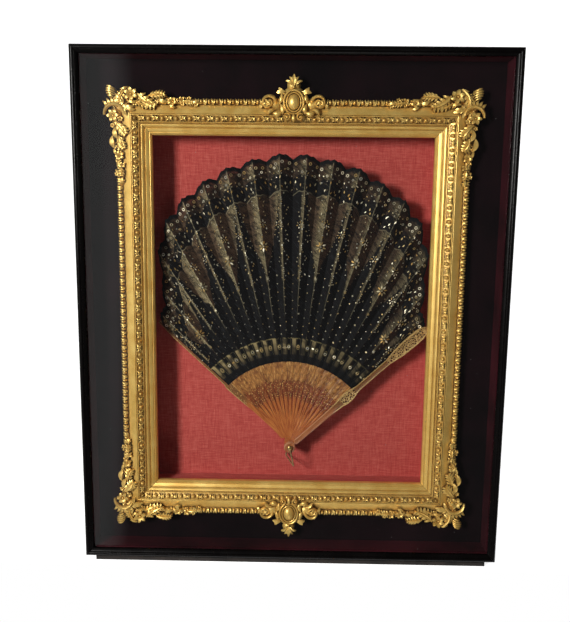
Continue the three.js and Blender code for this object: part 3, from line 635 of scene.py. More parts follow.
class Body:
    """Points and faces gathered from several closed forms, in the frame's plane: across, up and out."""

    def __init__(self):
        self.points = []
        self.faces = []

    def add(self, points, faces):
        first = len(self.points)
        self.points.extend(np.asarray(points, float).reshape(-1, 3).tolist())
        self.faces.extend([tuple(first + corner for corner in face) for face in faces])

    def sweep(self, path, widths, heights, crease=0.0):
        """A closed form along a path: widths lie in the frame's plane, heights stand out of it."""
        sides = 8
        along = np.gradient(path, axis=0)
        along /= np.linalg.norm(along, axis=1, keepdims=True)
        side = np.cross(along, [0.0, 0.0, 1.0])
        side /= np.maximum(np.linalg.norm(side, axis=1, keepdims=True), 1e-6)
        lift = np.cross(side, along)
        cosine = np.cos(round_angles(sides))[None, :, None]
        sine = np.sin(round_angles(sides))[None, :, None]
        groove = 1 - crease * np.exp(-((cosine / 0.35) ** 2)) * (sine > 0)
        aside = side[:, None] * widths[:, None, None] * cosine
        upward = lift[:, None] * heights[:, None, None] * sine * groove
        self.add(path[:, None] + aside + upward, capped_faces(len(path), sides))

    def dome(self, x, z, rise, half_x, half_z, height, sides=10, rings=4):
        """A rounded boss, flat below."""
        spin = round_angles(sides)[None]
        climb = (np.arange(rings) / rings * math.pi / 2)[:, None]
        points = np.stack([
            x + half_x * np.cos(spin) * np.cos(climb),
            z + half_z * np.sin(spin) * np.cos(climb),
            rise + height * np.sin(climb) + 0 * spin,
        ], axis=2)
        top = rings * sides
        last = top - sides
        faces = [tuple(range(sides))[::-1], *ring_faces(rings, sides)]
        faces += [(last + side, last + (side + 1) % sides, top) for side in range(sides)]
        self.add(np.vstack([points.reshape(-1, 3), [(x, z, rise + height)]]), faces)

    def petal(self, start, end, width, rise, height, bend=0.0, crease=0.35, arch=1.0, tip=0.75, lift=0.0):
        """A leaf or petal, widest past its middle when tip is above 0.5, its end raised by lift."""
        start = np.asarray(start, float)
        way = np.asarray(end, float) - start
        steps = np.linspace(0.02, 0.98, 8)
        arc = np.sin(math.pi * steps)
        curve = start + np.outer(steps, way) + np.outer(bend * arc, [-way[1], way[0]])
        out = rise + arch * arc + lift * steps
        swell = np.sin(math.pi * steps ** (0.31 / (1.0 - tip))) ** 0.8
        self.sweep(np.column_stack([curve, out]), width * swell, height * (0.35 + 0.65 * swell), crease)

    def blossom(self, x, z, radius, rise, petals=5, turn=0.0, height=2.4):
        """A cupped flower round a small dome."""
        centre = np.array([x, z])
        wide = radius * min(0.4, 2.0 / petals)
        for angle in turn + round_angles(petals):
            reach = np.array([math.cos(angle), math.sin(angle)]) * radius
            self.petal(centre + reach * 0.2, centre + reach, wide, rise - 1.2, height,
                       bend=0.08, arch=radius * 0.1, tip=0.66, lift=radius * 0.3)
        self.dome(x, z, rise - 0.6, radius * 0.22, radius * 0.22, height * 0.9, sides=8, rings=3)

    def frond(self, start, end, width, rise, height, lobes=4, bend=0.0):
        """A carved leaf: a rib with pairs of lobes that grow and shrink along it."""
        start, end = np.asarray(start, float), np.asarray(end, float)
        way = end - start
        length = np.linalg.norm(way)
        aside = np.array([-way[1], way[0]]) / length
        for index in range(lobes):
            share = (index + 0.6) / (lobes + 0.9)
            root = start + way * share + aside * bend * length * math.sin(math.pi * share)
            size = width * (0.55 + 0.6 * math.sin(math.pi * min(1.0, share + 0.15)))
            for side in (-1, 1):
                point = root + way / length * size * 0.75 + aside * side * size * 0.85
                self.petal(root, point, size * 0.3, rise, height, bend=-0.12 * side, arch=0.6, tip=0.6)
        self.petal(start, end, width * 0.32, rise + 0.8, height * 1.1, bend, crease=0.5, arch=1.2, tip=0.5)

    def volute(self, x, z, radius, turns, start, spin, thick, rise, height, inner):
        """A scroll that winds in towards its eye."""
        steps = np.linspace(0, 1, int(26 * turns) + 6)
        angle = start + spin * steps * turns * 2 * math.pi
        reach = radius * (1 - (1 - inner) * steps ** 0.85)
        path = np.column_stack([x + reach * np.cos(angle), z + reach * np.sin(angle), rise + 1.5 * steps])
        taper = np.minimum(steps * 8 + 0.25, 1) * (1 - 0.45 * steps)
        self.sweep(path, thick * taper, height * (0.5 + 0.5 * taper))
        eye = radius * inner * 1.25
        self.dome(x, z, rise, eye, eye, height * 1.35, rings=3)

    def bar(self, profile, length):
        """A mitred moulding along X; each profile point is a distance in from the outer edge and a rise."""
        count = len(profile)
        points = []
        for side in (-1, 1):
            points += [(side * (length / 2 - inward - MITRE_GAP), inward, out) for inward, out in profile]
        faces = [tuple(range(count)), tuple(range(count, 2 * count))[::-1]]
        faces += [(i, count + i, count + (i + 1) % count, (i + 1) % count) for i in range(count)]
        self.add(points, faces)


def rounded_corner(before, here, after, reach, count):
    """Points on a curve that cuts a corner, from reach before it to reach after it."""
    start = here + unit(before - here) * reach
    end = here + unit(after - here) * reach
    shares = np.linspace(0, 1, count)[:, None]
    return start * (1 - shares) ** 2 + here * 2 * shares * (1 - shares) + end * shares ** 2


def smooth_profile(corners, count=3):
    """Rounds a profile's inner corners a little, leaving its first and last points."""
    corners = np.asarray(corners, float)
    result = [corners[:1]]
    for before, here, after in zip(corners, corners[1:], corners[2:]):
        reach = min(np.linalg.norm(here - before), np.linalg.norm(after - here)) * 0.3
        result.append(rounded_corner(before, here, after, reach, count))
    return np.vstack([*result, corners[-1:]])


def new_piece(name, points, faces, material, body="case", angle=35, values=None, tidy=True):
    """A mesh object from points in millimetres, smooth but for edges sharper than angle, riding on a body."""
    mesh = bpy.data.meshes.new(name)
    mesh.from_pydata((np.asarray(points, float) * MM).tolist(), [], faces)
    mesh.validate()
    if tidy:
        outward(mesh)
    for label, numbers in (values or {}).items():
        attribute = mesh.attributes.new(label, "FLOAT", "POINT")
        attribute.data.foreach_set("value", np.asarray(numbers, np.float32))
    mesh.shade_smooth()
    if angle is not None:
        mesh.set_sharp_from_angle(angle=math.radians(angle))
    mesh.materials.append(material)
    piece = bpy.data.objects.new(name, mesh)
    bpy.context.scene.collection.objects.link(piece)
    if body:
        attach(piece, body)
    return piece


def outward(mesh):
    """Turns every face to look out of its closed form."""
    work = bmesh.new()
    work.from_mesh(mesh)
    bmesh.ops.recalc_face_normals(work, faces=work.faces)
    work.to_mesh(mesh)
    work.free()


def from_plane(points, centre_x, centre_z, back, turn=0.0):
    """Turns across, up and out into the model's frame, with out measured forward from a depth."""
    points = np.asarray(points, float)
    across, up, out = points.T
    x = across * math.cos(turn) + up * math.sin(turn)
    z = -across * math.sin(turn) + up * math.cos(turn)
    return np.column_stack([centre_x + x, y_at(back) - out, centre_z + z])


# Case

RAIL_TURNS = {"bottom": 0.0, "top": math.pi, "left": math.pi / 2, "right": -math.pi / 2}


def rail_place(side, width, height, centre_x, centre_z):
    """The middle of one rail's outer edge, and the length of that rail."""
    places = {
        "bottom": (centre_x, centre_z - height / 2, width),
        "top": (centre_x, centre_z + height / 2, width),
        "left": (centre_x - width / 2, centre_z, height),
        "right": (centre_x + width / 2, centre_z, height),
    }
    return places[side]


def case_moulding(material):
    profile = smooth_profile([
        (0, MOULDING_DEPTH), (0, 4.6), (0.5, 2.4), (1.6, 0.9), (3.0, 0.15), (4.3, 0.1), (5.4, 0.7),
        (5.9, 1.7), (6.3, 1.75), (6.6, 1.1), (8.3, 2.3), (MOULDING_WIDTH, 3.8),
        (MOULDING_WIDTH, REBATE_DEPTH), (REBATE_WIDTH, REBATE_DEPTH), (REBATE_WIDTH, MOULDING_DEPTH),
    ]) * [1, -1]
    for side, turn in RAIL_TURNS.items():
        x, z, length = rail_place(side, CASE_WIDTH, CASE_HEIGHT, 0, CASE_MIDDLE)
        body = Body()
        body.bar(profile, length)
        points = from_plane(body.points, x, z, 0, turn)
        rail = new_piece(f"moulding_{side}", points, body.faces, material, angle=28)
        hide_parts(f"case_rail_{side}")


# Gilt frame

def gilt_profile():
    """Carved edge, plain band leaning outward, channel of the beads leaning inward, steps and sight edge."""
    return smooth_profile([
        (1.3, 0), (1.3, 7.0), (2.2, 8.6), (3.8, 9.0), (6.0, 8.4), (6.5, 7.8), (6.9, 9.0), (7.6, 9.6),
        (12, 11.7), (17.3, 13.7), (17.6, 12.9), (18.0, 12.9), (18.3, 14.6), (19.1, 14.6), (19.5, 13.0),
        (BEAD_CENTRE, 11.5), (26, 10.0), (26.3, 11.7), (27.0, 11.5), (27.3, 9.9), (28.9, 9.4), (29.2, 10.9),
        (29.9, 11.0), (32.4, 8.8), (32.6, 7.8), (33.3, 7.7), (33.6, 8.7), (37.5, 7.7), (37.8, 6.8),
        (38.3, 6.8), (38.6, 7.3), (40.8, 5.1), (GILT_WIDTH, 4.7), (GILT_WIDTH, 0),
    ], 2)


def spaced(length, end, pitch):
    """Places along a rail, the first and last this far in from its ends and the others evenly between."""
    run = length - 2 * end
    return np.linspace(-run / 2, run / 2, round(run / pitch) + 1)


def edge_carving(body, length):
    """Beads along the outer edge of a rail, with a pair of small leaves between each two."""
    beads = spaced(length, EDGE_END, EDGE_PITCH)
    for x in beads:
        body.dome(x, 3.2, 7.4, 2.5, 3.1, 6.2)
    for middle in (beads[1:] + beads[:-1]) / 2:
        for side in (-1, 1):
            start, end = (middle + side * 0.3, 6.6), (middle + side * 1.9, 0.1)
            body.petal(start, end, 1.35, 9.9, 3.6, arch=1.2, tip=0.6)


def bead_row(body, length):
    """Round beads, each between two curled leaves, with a small cross of leaves between each two."""
    beads = spaced(length, BEAD_CENTRE, BEAD_PITCH)
    for x in beads:
        body.dome(x, BEAD_CENTRE, 11.0, 2.6, 2.6, 4.6, sides=12, rings=5)
    for before, after in zip(beads, beads[1:]):
        middle = (before + after) / 2
        for side, near in ((-1, before + 4.0), (1, after - 4.0)):
            body.petal((near, 20.0), (near, 25.6), 0.9, 13.9, 1.8,
                       bend=side * 0.3, arch=0.5, tip=0.5, lift=-2.6)
            for way in (-1, 1):
                end = (middle + side * 3.2, BEAD_CENTRE + way * 2.4)
                body.petal((middle, BEAD_CENTRE), end, 1.2, 12.6, 1.9,
                           bend=-side * way * 0.15, arch=0.8, lift=-way * 1.1)
        start, end = (middle, BEAD_CENTRE - 3.0), (middle, BEAD_CENTRE + 3.0)
        body.petal(start, end, 0.85, 14.3, 2.1, arch=0.6, tip=0.5, lift=-2.8)


def pearl_row(body, length):
    """Pearls close together along the inner side of the bead row."""
    for x in spaced(length, PEARL_END, PEARL_PITCH):
        body.dome(x, 28.2, 9.5, 1.15, 0.65, 1.2, sides=6, rings=2)


def gilt_rails(material):
    profile = gilt_profile()
    for side, turn in RAIL_TURNS.items():
        x, z, length = rail_place(side, GILT_OUTER_WIDTH, GILT_OUTER_HEIGHT, GILT_X, GILT_Z)
        body = Body()
        body.bar(profile, length)
        edge_carving(body, length)
        bead_row(body, length)
        pearl_row(body, length)
        points = from_plane(body.points, x, z, GILT_BACK, turn)
        rail = new_piece(f"gilt_{side}", points, body.faces, material, angle=40)
        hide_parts(f"gilt_rail_{side}")


def corner_carving():
    """One corner's spray of blossoms and leaves, measured in from its outer corner along both arms."""
    body = Body()
    corner_head(body)
    short_arm(body)
    long_arm(body)
    corner_ground(body)
    return body


def corner_head(body):
    """A closed, ribbed bud at the extreme corner, a blossom beside it, and one under an arched leaf."""
    body.dome(9.4, 7.6, 4, 5.4, 7.2, 8.6, sides=16, rings=6)
    for step in range(5):
        start = (3.4 + 0.5 * (step - 1.8) ** 2, 0.6 + 2.6 * step)
        end = (14.8 - 0.3 * (step - 2) ** 2, 4.0 + 2.5 * step)
        body.petal(start, end, 1.35, 12.6, 2.8, bend=-0.08, arch=2.4, tip=0.55)
    body.frond((28, 2.5), (19.5, 24), 6.0, 13.6, 3.2, 5, 0.14)
    body.petal((20, 3.5), (29, 1.4), 2.4, 13.2, 2.8, bend=0.15, arch=1.0)
    body.blossom(33.0, 9.8, 8.4, 15.0, 6, 0.3, 3.6)
    # The arched leaf, and rays that spread from it
    arc = np.linspace(math.radians(178), math.radians(352), 22)
    swell = 0.55 + 0.45 * np.sin(np.linspace(0.2, math.pi, 22))
    rim = np.column_stack([13.2 + 11.6 * np.cos(arc), 32.5 + 11.8 * np.sin(arc), 14.6 - 1.2 * np.sin(arc)])
    body.sweep(rim, 2.3 * swell, 3.2 * swell)
    for angle in np.radians(228 + 15 * np.arange(7)):
        way = np.array([math.cos(angle), math.sin(angle)])
        root = np.array([13.2, 32.5]) + way * 11.8
        body.petal(root, root + way * 8.2, 2.1, 12.6, 3.0, bend=0.1, arch=1.4, tip=0.5)
    body.blossom(11.6, 33.6, 7.6, 14.2, 6, 0.9, 3.4)
    # Leaves that run in over the mitre
    body.dome(18.5, 21.5, 4, 11, 11, 8.5, sides=14, rings=5)
    for point in ((31, 27.5), (35.5, 23.5), (37.5, 27), (27, 33.5)):
        body.petal((24.5, 21.5), point, 2.4, 13.2, 2.8, bend=0.12, arch=1.4)
    body.petal((28, 19), (39, 19.5), 2.6, 13.2, 2.8, bend=-0.14, arch=1.2)


def short_arm(body):
    """The arm along the top or bottom: feathered leaves, two small blossoms and a sprig."""
    body.frond((40, 8.5), (64, 23), 7.4, 13.6, 3.4, 5, 0.1)
    body.frond((53, 11.5), (74, 10.4), 5.4, 14.2, 3.2, 5, -0.05)
    body.frond((38, 17), (54, 24), 4.6, 13.2, 2.6, 3, 0.05)
    body.petal((64, 14), (74, 17.5), 2.8, 13.6, 2.8, bend=0.15, arch=1.2)
    body.blossom(80.5, 17.4, 5.4, 14.2, 5, 0.2, 2.8)
    body.blossom(91.5, 15.4, 4.2, 13.9, 4, 0.6, 2.4)
    body.petal((76, 21), (84, 24), 2.0, 13.2, 2.2, bend=0.1)
    body.frond((93, 17.6), (105, 18.6), 4.4, 13.4, 2.3, 3)
    body.petal((102, 18.3), (111, 17.8), 1.9, 13.2, 2.0)


def long_arm(body):
    """The arm along the side: longer plain leaves among the feathered ones."""
    body.frond((15, 42), (26, 57), 7.0, 13.8, 3.2, 4, -0.08)
    body.petal((14.5, 46), (16.5, 59.5), 3.2, 14.0, 3.2, bend=0.16, arch=1.6)
    body.petal((11.5, 55), (12.3, 70.5), 3.3, 13.8, 3.0, bend=0.14, arch=1.4)
    body.frond((18, 56), (25, 72), 6.0, 13.4, 2.8, 4, 0.1)
    body.blossom(18.0, 79.0, 5.4, 14.0, 5, 0.4, 2.8)
    body.petal((12.5, 70), (14.5, 78), 1.9, 13.4, 2.2, bend=0.1)
    body.blossom(21.0, 89.5, 3.9, 13.8, 4, 0.8, 2.3)
    body.frond((20, 92), (20, 104), 4.2, 13.4, 2.2, 3)
    body.petal((20, 102), (20.5, 111), 1.8, 13.2, 2.0)


def corner_ground(body):
    """The swelling ground of both arms, with small blossoms and berries between the larger leaves."""
    for share in np.linspace(0.14, 0.94, 9):
        along, inward, half = arm_place(share)
        body.dome(along, inward, 3, 10, half, 10.4 - share, rings=3)
        body.dome(inward, along, 3, half, 10, 10.4 - share, rings=3)
    pick = random.Random(5)
    for step in range(26):
        along, inward, half = arm_place(0.05 + 0.035 * step)
        inward += half * pick.uniform(-0.85, 0.85)
        for x, z in ((along, inward), (inward, along)):
            if step % 2:
                body.blossom(x, z, pick.uniform(2.6, 3.6), 13.4, 5, pick.uniform(0, 6), 1.8)
            else:
                body.dome(x, z, 9.5, 1.7, 1.7, 4.8, sides=8, rings=3)


def arm_place(share):
    """A place on an arm: how far along, how far in from the edge, and the arm's half width there."""
    return 112 * share + 4, 13 + 5 * share, 8.6 - 5.2 * share


def cartouche_carving():
    """A shield with an oval boss, a crown leaf, two rosette scrolls and two small scrolls at its foot."""
    body = Body()
    for z, rise, half_x, half_z, height, sides, rings in (
        (32, 8, 17.5, 18, 8.5, 20, 5), (22.5, 8, 13, 9, 7.6, 14, 4), (12, 8, 8, 8, 7, 12, 4),
        (46, 10, 10, 7, 8, 14, 4), (32, 16.8, 6.9, 9.3, 5.6, 20, 6), (15.4, 14.5, 1.7, 1.7, 3.2, 8, 3),
    ):
        body.dome(0, z, rise, half_x, half_z, height, sides, rings)
    # Two rims round the boss, each closed over its own start
    turn = np.linspace(0, 2 * math.pi, 41)[np.arange(42) % 40]
    for half_x, half_z, thick, rise in ((11.2, 13.4, 1.5, 17.2), (8.3, 10.6, 0.8, 18.2)):
        rim = np.column_stack([half_x * np.sin(turn), 32 + half_z * np.cos(turn), np.full(42, rise)])
        body.sweep(rim, np.full(42, thick), np.full(42, thick * 1.15))
    body.petal((0, 16), (0, 0.3), 2.5, 14.5, 3.0, crease=0.5, arch=1.6)
    body.petal((0, 44), (0, 55), 2.6, 18.8, 2.8, crease=0, arch=1.0)
    for side in (-1, 1):
        way = np.array([side, 1])
        for start, end, width, rise, height, bend, crease, arch in (
            ((1, 14.5), (5.4, 3.6), 2.0, 14.2, 2.7, -0.14, 0.35, 1.4),
            ((2, 14), (9.8, 8.2), 1.8, 13.8, 2.5, -0.2, 0.35, 1.2),
            ((9, 20), (17.5, 15.2), 2.6, 13.6, 2.6, 0.2, 0.35, 0.8),
            ((10, 24), (20.4, 21.4), 2.8, 13.6, 2.6, -0.2, 0.35, 0.8),
            ((14, 21), (16.4, 34), 3.0, 14.4, 2.6, 0.1, 0, 0.6),
            ((16, 33), (13.5, 46), 3.2, 15.4, 2.8, 0.16, 0, 0.6),
            ((36, 33), (39, 38.5), 2.2, 14, 2.2, 0, 0.35, 0.6),
            ((13, 42.5), (24, 43.5), 3.6, 16.6, 3.0, 0.2, 0, 0.8),
            ((20, 41), (29.5, 46.5), 2.6, 16, 3.0, -0.25, 0, 0.8),
        ):
            body.petal(start * way, end * way, width, rise, height, side * bend, crease, arch)
        body.volute(side * 29, 32.4, 9.2, 1.3, math.pi / 2 + side * 1.2, side, 2.3, 13.5, 3.4, 0.3)
        body.blossom(side * 30.5, 33.0, 4.4, 16, 5, 0.4, 2.1)
        body.volute(side * 7.6, 49, 4.4, 1.1, -math.pi / 2 + side * 0.8, -side, 1.5, 19, 2.6, 0.35)
        body.dome(side * 22, 34, 8, 12, 8, 7.6, sides=12)
    return body


def place_carving(name, node, body, material, flip_x, flip_z, x, z):
    """Sets a carving on the gilt frame, x and z from its middle, mirrored where flip_x or flip_z is -1."""
    points = np.asarray(body.points) * [flip_x, flip_z, 1] + [x, z, 0]
    points = from_plane(points, GILT_X, GILT_Z, GILT_BACK)
    piece = new_piece(name, points, body.faces, material, angle=50)
    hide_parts(node)


def ornaments(material):
    corner = corner_carving()
    cartouche = cartouche_carving()
    reach_x = GILT_OUTER_WIDTH / 2 + CORNER_REACH
    reach_z = GILT_OUTER_HEIGHT / 2 + CORNER_REACH
    shield_z = GILT_OUTER_HEIGHT / 2 + SHIELD_REACH
    for high, up in (("top", 1), ("bottom", -1)):
        for wide, across in (("left", -1), ("right", 1)):
            end = f"{high}_{wide}"
            place_carving(f"corner_{end}", f"corner_ornament_{end}", corner, material,
                          -across, -up, across * reach_x, up * reach_z)
        place_carving(f"shield_{high}", f"cartouche_{high}", cartouche, material, 1, -up, 0, up * shield_z)


# Fan sticks

def blade_body(index):
    """The body that carries blade number index, counted from the back guard."""
    if index == 0:
        return "guard_back"
    if index == GORES:
        return "guard_front"
    return "case" if index == GORES // 2 else f"stick_{index:02d}"


def blade_front(index):
    """The depth of the front of a blade, or of several."""
    stick = FIRST_STICK_BACK - (index - 1) * STICK_PITCH - STICK_THICKNESS
    return np.where(np.asarray(index) <= 0, GUARD_BACK_FRONT, stick)


def blade_angle(place):
    return math.radians(-SPREAD + place * GAP)


def leaf_radius(place):
    spread = np.abs(np.asarray(place, float) * GAP - SPREAD) / SPREAD
    share = np.interp(spread, LEAF_SPREAD, LEAF_SHARE)
    return GUARD_LENGTH + share * (LEAF_HEIGHT - GUARD_LENGTH)


def blade_rows(outline):
    """Distances from the rivet along a blade with a round head, and its half width at each."""
    radii, halves = np.asarray(outline, float).T
    head_rows = HEAD_RADIUS * np.sin(np.linspace(-math.pi / 2 * 0.98, 0, 7))
    rows = np.concatenate([head_rows, np.arange(3, radii[-1] - 1, 2.6), [radii[-1]]])
    head = np.sqrt(np.maximum(HEAD_RADIUS ** 2 - rows ** 2, 0.05))
    head = np.where(rows < radii[0], head, np.inf)
    blade = np.interp(rows, radii, halves) + np.maximum(0, 10 - rows) * 0.7
    return rows, np.where(rows < 3, head, np.minimum(head, blade))


def blade_faces(count, wide):
    """Faces round a slab whose top has count rows of wide points, followed by as many below."""
    under = count * wide
    faces = []
    for row in range(count - 1):
        left = row * wide
        right = left + wide - 1
        for a in range(left, right):
            b = a + under
            faces += [(a, a + 1, a + wide + 1, a + wide), (b, b + wide, b + wide + 1, b + 1)]
        faces.append((left, left + wide, left + wide + under, left + under))
        faces.append((right, right + under, right + wide + under, right + wide))
    first = list(range(wide))
    last = list(range(under - wide, under))
    faces.append(tuple(first[::-1] + [point + under for point in first]))
    faces.append(tuple(last + [point + under for point in last][::-1]))
    return faces


def blade_mesh(outline, thickness, front, angle, crown, rim):
    """A tapering, slightly crowned blade, hollowed inside a raised rim, as points, faces and their values."""
    rows, half = blade_rows(outline)
    shares = np.array([-1, -0.86, -0.5, 0, 0.5, 0.86, 1])
    half = half[:, None]
    across = half * shares
    along = np.repeat(rows[:, None], len(shares), axis=1)
    lift = crown * (1 - shares ** 2) * np.minimum(half / 4, 1)
    lift = lift - rim * (np.abs(shares) < 0.84) * (half > 2.2)
    top = np.stack([across, along, thickness / 2 + lift], axis=2)
    bottom = np.stack([across, along, np.full_like(across, -thickness / 2)], axis=2)
    points = np.concatenate([top.reshape(-1, 3), bottom.reshape(-1, 3)])
    values = {"across": points[:, 0], "along": points[:, 1], "share": np.tile(shares, 2 * len(rows))}
    placed = from_plane(points, PIVOT_X, PIVOT_Z, front + thickness / 2, angle)
    return placed, blade_faces(len(rows), len(shares)), values


def stick_outline(index):
    """Half widths along a stick, which swells up to the leaf and runs on behind it as a thin rib."""
    rib_end = float(leaf_radius(index)) - SCALLOP - 12
    return [
        (10, 2.2), (40, 1.85), (62, 2.3), (70, 2.9), (76, 3.6), (82, 4.2), (92, 4.7), (SHOULDER, 5.05),
        (SHOULDER + 0.6, 1.75), (rib_end, 0.6),
    ]


def sticks():
    plain = stick_horn()
    back_guard = guard_horn("horn_back_guard", False)
    front_guard = guard_horn("horn_front_guard", True)
    for index in range(GORES + 1):
        name, material, outline = f"stick_{index:02d}", plain, stick_outline(index)
        thickness, front, rim = STICK_THICKNESS, blade_front(index), 0.0
        if index == 0:
            name, material, outline = "guard_back", back_guard, BACK_GUARD
            thickness = GUARD_THICKNESS
        elif index == GORES:
            name, material, outline = "guard_front", front_guard, FRONT_GUARD
            thickness, front, rim = GUARD_THICKNESS, GUARD_FRONT_BACK - GUARD_THICKNESS, 0.5
        points, faces, values = blade_mesh(outline, thickness, front, blade_angle(index), 0.22, rim)
        values["tint"] = np.full(len(points), random.random())
        blade = new_piece(f"horn_{name}", points, faces, material, blade_body(index), 40, values)
        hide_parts(name)


# Lace leaf

def leaf_edge(place):
    """The distance from the rivet to the scalloped edge; a place is counted in gores."""
    local = np.asarray(place, float) % 1.0
    off = np.abs(local - 0.5)
    peak = np.maximum(np.cos(np.minimum(off / 0.44, 1) * math.pi / 2), 0) ** 0.75
    notch = (2 * off) ** 5
    uneven = (1.5 * np.sin(place * 2.3) + 0.9 * np.cos(local * 2 * math.pi * 4)) * np.sin(math.pi * local)
    return leaf_radius(place) - 1.6 - SCALLOP * (0.64 * (1 - peak) + 0.36 * notch) + uneven


def inner_top(place):
    """The distance from the rivet at which the dark lace band begins."""
    return leaf_edge(place) - DARK_BAND


def leaf_surface(place, radius, lift=0.0):
    """A point of the leaf's front in the model's frame, for a place in gores and a radius from the rivet."""
    place = np.asarray(place, float)
    radius = np.asarray(radius, float)
    low = np.clip(np.floor(place), 0, GORES - 1)
    share = place - low
    start = blade_front(low) - LEAF_CLEARANCE
    end = blade_front(low + 1) - LEAF_CLEARANCE
    pleat = PLEAT_DEPTH * np.clip((radius - 100) / (LEAF_HEIGHT - 100), 0, 1) ** 0.75
    ridge = 1 - np.sqrt((2 * share - 1) ** 2 + 0.004)
    depth = start + (end - start) * share - pleat * ridge
    # The last gore slips in behind the front guard and has only a small pleat
    last = start + (GUARD_FRONT_BACK + LEAF_CLEARANCE - start) * np.minimum(1, share / 0.6)
    small = np.where(share < 0.3, share / 0.3, np.maximum(0, (0.6 - share) / 0.3))
    depth = np.where(low >= GORES - 1, last - small * pleat * 0.35, depth)
    angle = np.radians(-SPREAD + place * GAP)
    x = PIVOT_X + radius * np.sin(angle)
    z = PIVOT_Z + radius * np.cos(angle)
    return np.stack([x, y_at(depth) - lift, z], axis=-1)


def panel_distance(place):
    """How far a place is from the middle of the nearest gauze panel, in gores."""
    middles = np.asarray(PANEL_GORES, float) + 0.5
    return np.abs(np.asarray(place, float)[..., None] - middles).min(axis=-1)


def panel_half_width(reach):
    rise = np.clip((reach - PANEL_START) / (1 - PANEL_START), 0, 1)
    return PANEL_WIDTH * (1 - (1 - rise) ** PANEL_FLARE)


def leaf_gores(material, spangles):
    wide, tall = 15, 42
    across = np.linspace(0, 1, wide)[:, None]
    up = np.linspace(0, 1, tall)
    corners = [column * tall + row for column in range(wide - 1) for row in range(tall - 1)]
    faces = [(a, a + tall, a + tall + 1, a + 1) for a in corners]
    for index in range(GORES):
        # Depths are read just inside the gore, so that its edges don't take the next gore's
        inside = index + np.clip(across, 0.001, 0.999) + 0 * up
        outer = leaf_edge(inside)
        radius = LEAF_INNER + (outer - LEAF_INNER) * up
        points = leaf_surface(inside, radius)
        points[..., [0, 2]] = leaf_surface(index + across + 0 * up, radius)[..., [0, 2]]
        values = {
            "gore": inside.ravel(),
            "radius": radius.ravel(),
            "edge": (outer - radius).ravel(),
            "reach": ((radius - LEAF_INNER) / (outer - DARK_BAND - LEAF_INNER)).ravel(),
            "panel": panel_distance(inside).ravel(),
        }
        name = f"lace_gore_{index + 1:02d}"
        gore = new_piece(name, points.reshape(-1, 3), faces, material, None, None, values, tidy=False)
        join_blades(gore)
        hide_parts("leaf")
        trim = leaf_spangles(index, spangles)
        longest = float(outer.max() - LEAF_INNER) * MM


def join_blades(piece):
    """Bakes a piece's placement into its points."""
    pivot = Vector((PIVOT_X, y_at(float(blade_front(GORES // 2))), PIVOT_Z))
    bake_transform(piece)


# Spangles

def disc(radius):
    sides = 8
    angle = round_angles(sides)
    rim = np.column_stack([radius * np.cos(angle), radius * np.sin(angle), np.zeros(sides)])
    return np.vstack([rim, [[0, 0, radius * 0.18]]]), [(i, (i + 1) % sides, sides) for i in range(sides)]


def washer(radius, hole):
    sides = 12
    angle = round_angles(sides)
    turn = np.column_stack([np.cos(angle), np.sin(angle), np.zeros(sides)])
    middle = turn * (radius + hole) / 2 + [0, 0, radius * 0.16]
    return np.vstack([turn * radius, middle, turn * hole]), ring_faces(3, sides)


def lozenge(length, width):
    points = [(0, -length, 0), (width, -length * 0.2, 0), (width * 0.8, length * 0.4, 0), (0, length, 0),
              (-width * 0.8, length * 0.4, 0), (-width, -length * 0.2, 0), (0, 0, width * 0.35)]
    return np.asarray(points, float), [(i, (i + 1) % 6, 6) for i in range(6)]


# Each kind's form for a size, and its place on the scale of tones
SPANGLES = {
    "dot": (disc, 0.7),
    "ring": (lambda size: washer(size, size * 0.5), 0.68),
    "leaf": (lambda size: lozenge(size, size * 0.42), 0.5),
    "oval": (lambda size: lozenge(size * 1.3, size * 0.8), 0.5),
}


